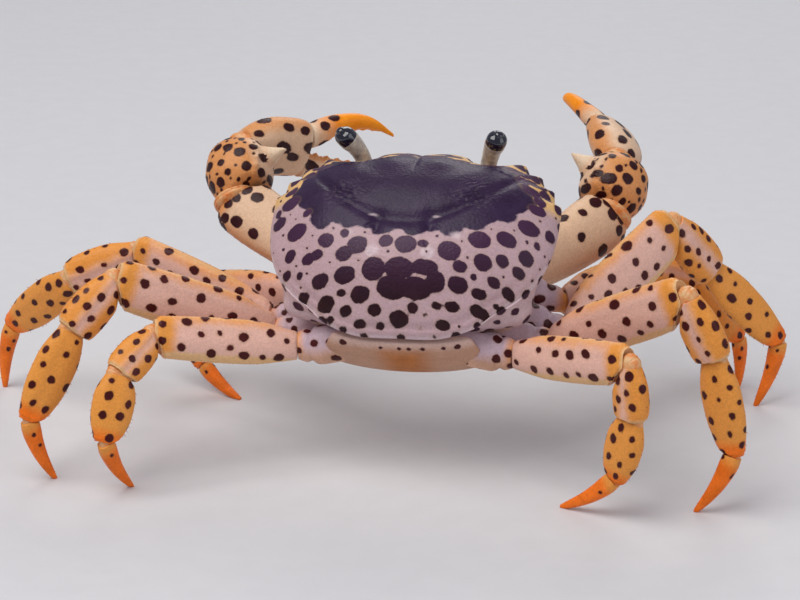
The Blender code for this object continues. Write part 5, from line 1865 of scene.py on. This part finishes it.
class CRAB_OT_stage(bpy.types.Operator):
    """Lays the pale floor and sets the soft lights and the camera"""

    bl_idname = "crab.stage"
    bl_label = "Stage"

    def execute(self, context):
        scene = context.scene
        settings = scene.crab_stage
        target = (Vector(LOOK_AT) + Vector(SHIFT) * Vector((1, 1, 0))) * MM
        self.add_floor(scene, settings)
        for light in LIGHTS:
            self.add_light(scene, settings, target, *light)
        scene.world = bpy.data.worlds.new("soft_sky")
        scene.world.use_nodes = True
        sky = scene.world.node_tree.nodes["Background"]
        sky.inputs["Color"].default_value = (*settings.sky, 1.0)
        sky.inputs["Strength"].default_value = settings.sky_power
        scene.view_settings.view_transform = "Standard"
        self.add_camera(scene, settings, target)
        return {"FINISHED"}

    def add_floor(self, scene, settings):
        corners = [(x * FLOOR_HALF, y * FLOOR_HALF, 0) for x, y in ((-1, -1), (1, -1), (1, 1), (-1, 1))]
        mesh = bpy.data.meshes.new("floor")
        mesh.from_pydata(corners, [], [(0, 1, 2, 3)])
        material, tree, shader = new_material("floor_paper")
        place = add_node(tree, "ShaderNodeTexCoord").outputs["Object"]
        grain = noise(tree, place, 180.0, 4.0, 0.5)
        feed(tree, shader, {
            "Base Color": mixed(tree, grain, settings.floor, shade(settings.floor, 0.93)), "Roughness": 0.75})
        mesh.materials.append(material)
        floor = bpy.data.objects.new("floor", mesh)
        scene.collection.objects.link(floor)
        floor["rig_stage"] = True

    def add_light(self, scene, settings, target, name, place, power, share, size, colour):
        light = bpy.data.objects.new(name, bpy.data.lights.new(name, "AREA"))
        light.data.energy = getattr(settings, power) * share
        light.data.size = size
        light.data.color = colour
        light.location = place
        light.rotation_euler = (target - Vector(place)).to_track_quat("-Z", "Y").to_euler()
        scene.collection.objects.link(light)

    def add_camera(self, scene, settings, target):
        camera = bpy.data.objects.new("camera", bpy.data.cameras.new("camera"))
        scene.collection.objects.link(camera)
        back = Vector((0.0, -math.cos(settings.rise), math.sin(settings.rise)))
        camera.location = target + back * settings.distance
        camera.rotation_euler = (-back).to_track_quat("-Z", "Y").to_euler()
        camera.data.lens = settings.lens
        camera.data.sensor_width = SENSOR_WIDTH
        camera.data.clip_start, camera.data.clip_end = CLIP_RANGE
        scene.camera = camera


class CRAB_PT_panel(bpy.types.Panel):
    """Lists the steps that build the crab and their settings"""

    bl_idname = "CRAB_PT_panel"
    bl_label = "Panther Crab"
    bl_space_type = "VIEW_3D"
    bl_region_type = "UI"
    bl_category = "Crab"

    def draw(self, context):
        layout = self.layout
        for operator in OPERATORS:
            layout.operator(operator.bl_idname)
        for name, group in SETTINGS.items():
            box = layout.box()
            box.label(text=name.replace("crab_", "").title())
            for field in group.__annotations__:
                box.prop(getattr(context.scene, name), field)


SETTINGS = {
    "crab_shell": CrabShellSettings, "crab_limb": CrabLimbSettings, "crab_claw": CrabClawSettings,
    "crab_belly": CrabBellySettings, "crab_face": CrabFaceSettings, "crab_hair": CrabHairSettings,
    "crab_stage": CrabStageSettings,
}
OPERATORS = (
    CRAB_OT_carapace, CRAB_OT_thorax, CRAB_OT_pleon, CRAB_OT_legs, CRAB_OT_claws, CRAB_OT_joint_skin,
    CRAB_OT_eyes, CRAB_OT_feelers, CRAB_OT_mouth, CRAB_OT_grains, CRAB_OT_bristles, CRAB_OT_stage,
)
MATERIALS = {}
JOINTS = []
BRISTLES = []
BODY = body_matrix()
SHIFT = find_shift()


def register():
    for group in SETTINGS.values():
        bpy.utils.register_class(group)
    for name, group in SETTINGS.items():
        setattr(bpy.types.Scene, name, bpy.props.PointerProperty(type=group))
    for operator in OPERATORS:
        bpy.utils.register_class(operator)
    bpy.utils.register_class(CRAB_PT_panel)


def unregister():
    bpy.utils.unregister_class(CRAB_PT_panel)
    for operator in reversed(OPERATORS):
        bpy.utils.unregister_class(operator)
    for name, group in SETTINGS.items():
        delattr(bpy.types.Scene, name)
        bpy.utils.unregister_class(group)


def main():
    register()
    for operator in OPERATORS:
        prefix, name = operator.bl_idname.split(".")
        getattr(getattr(bpy.ops, prefix), name)()


if __name__ == "__main__":
    main()
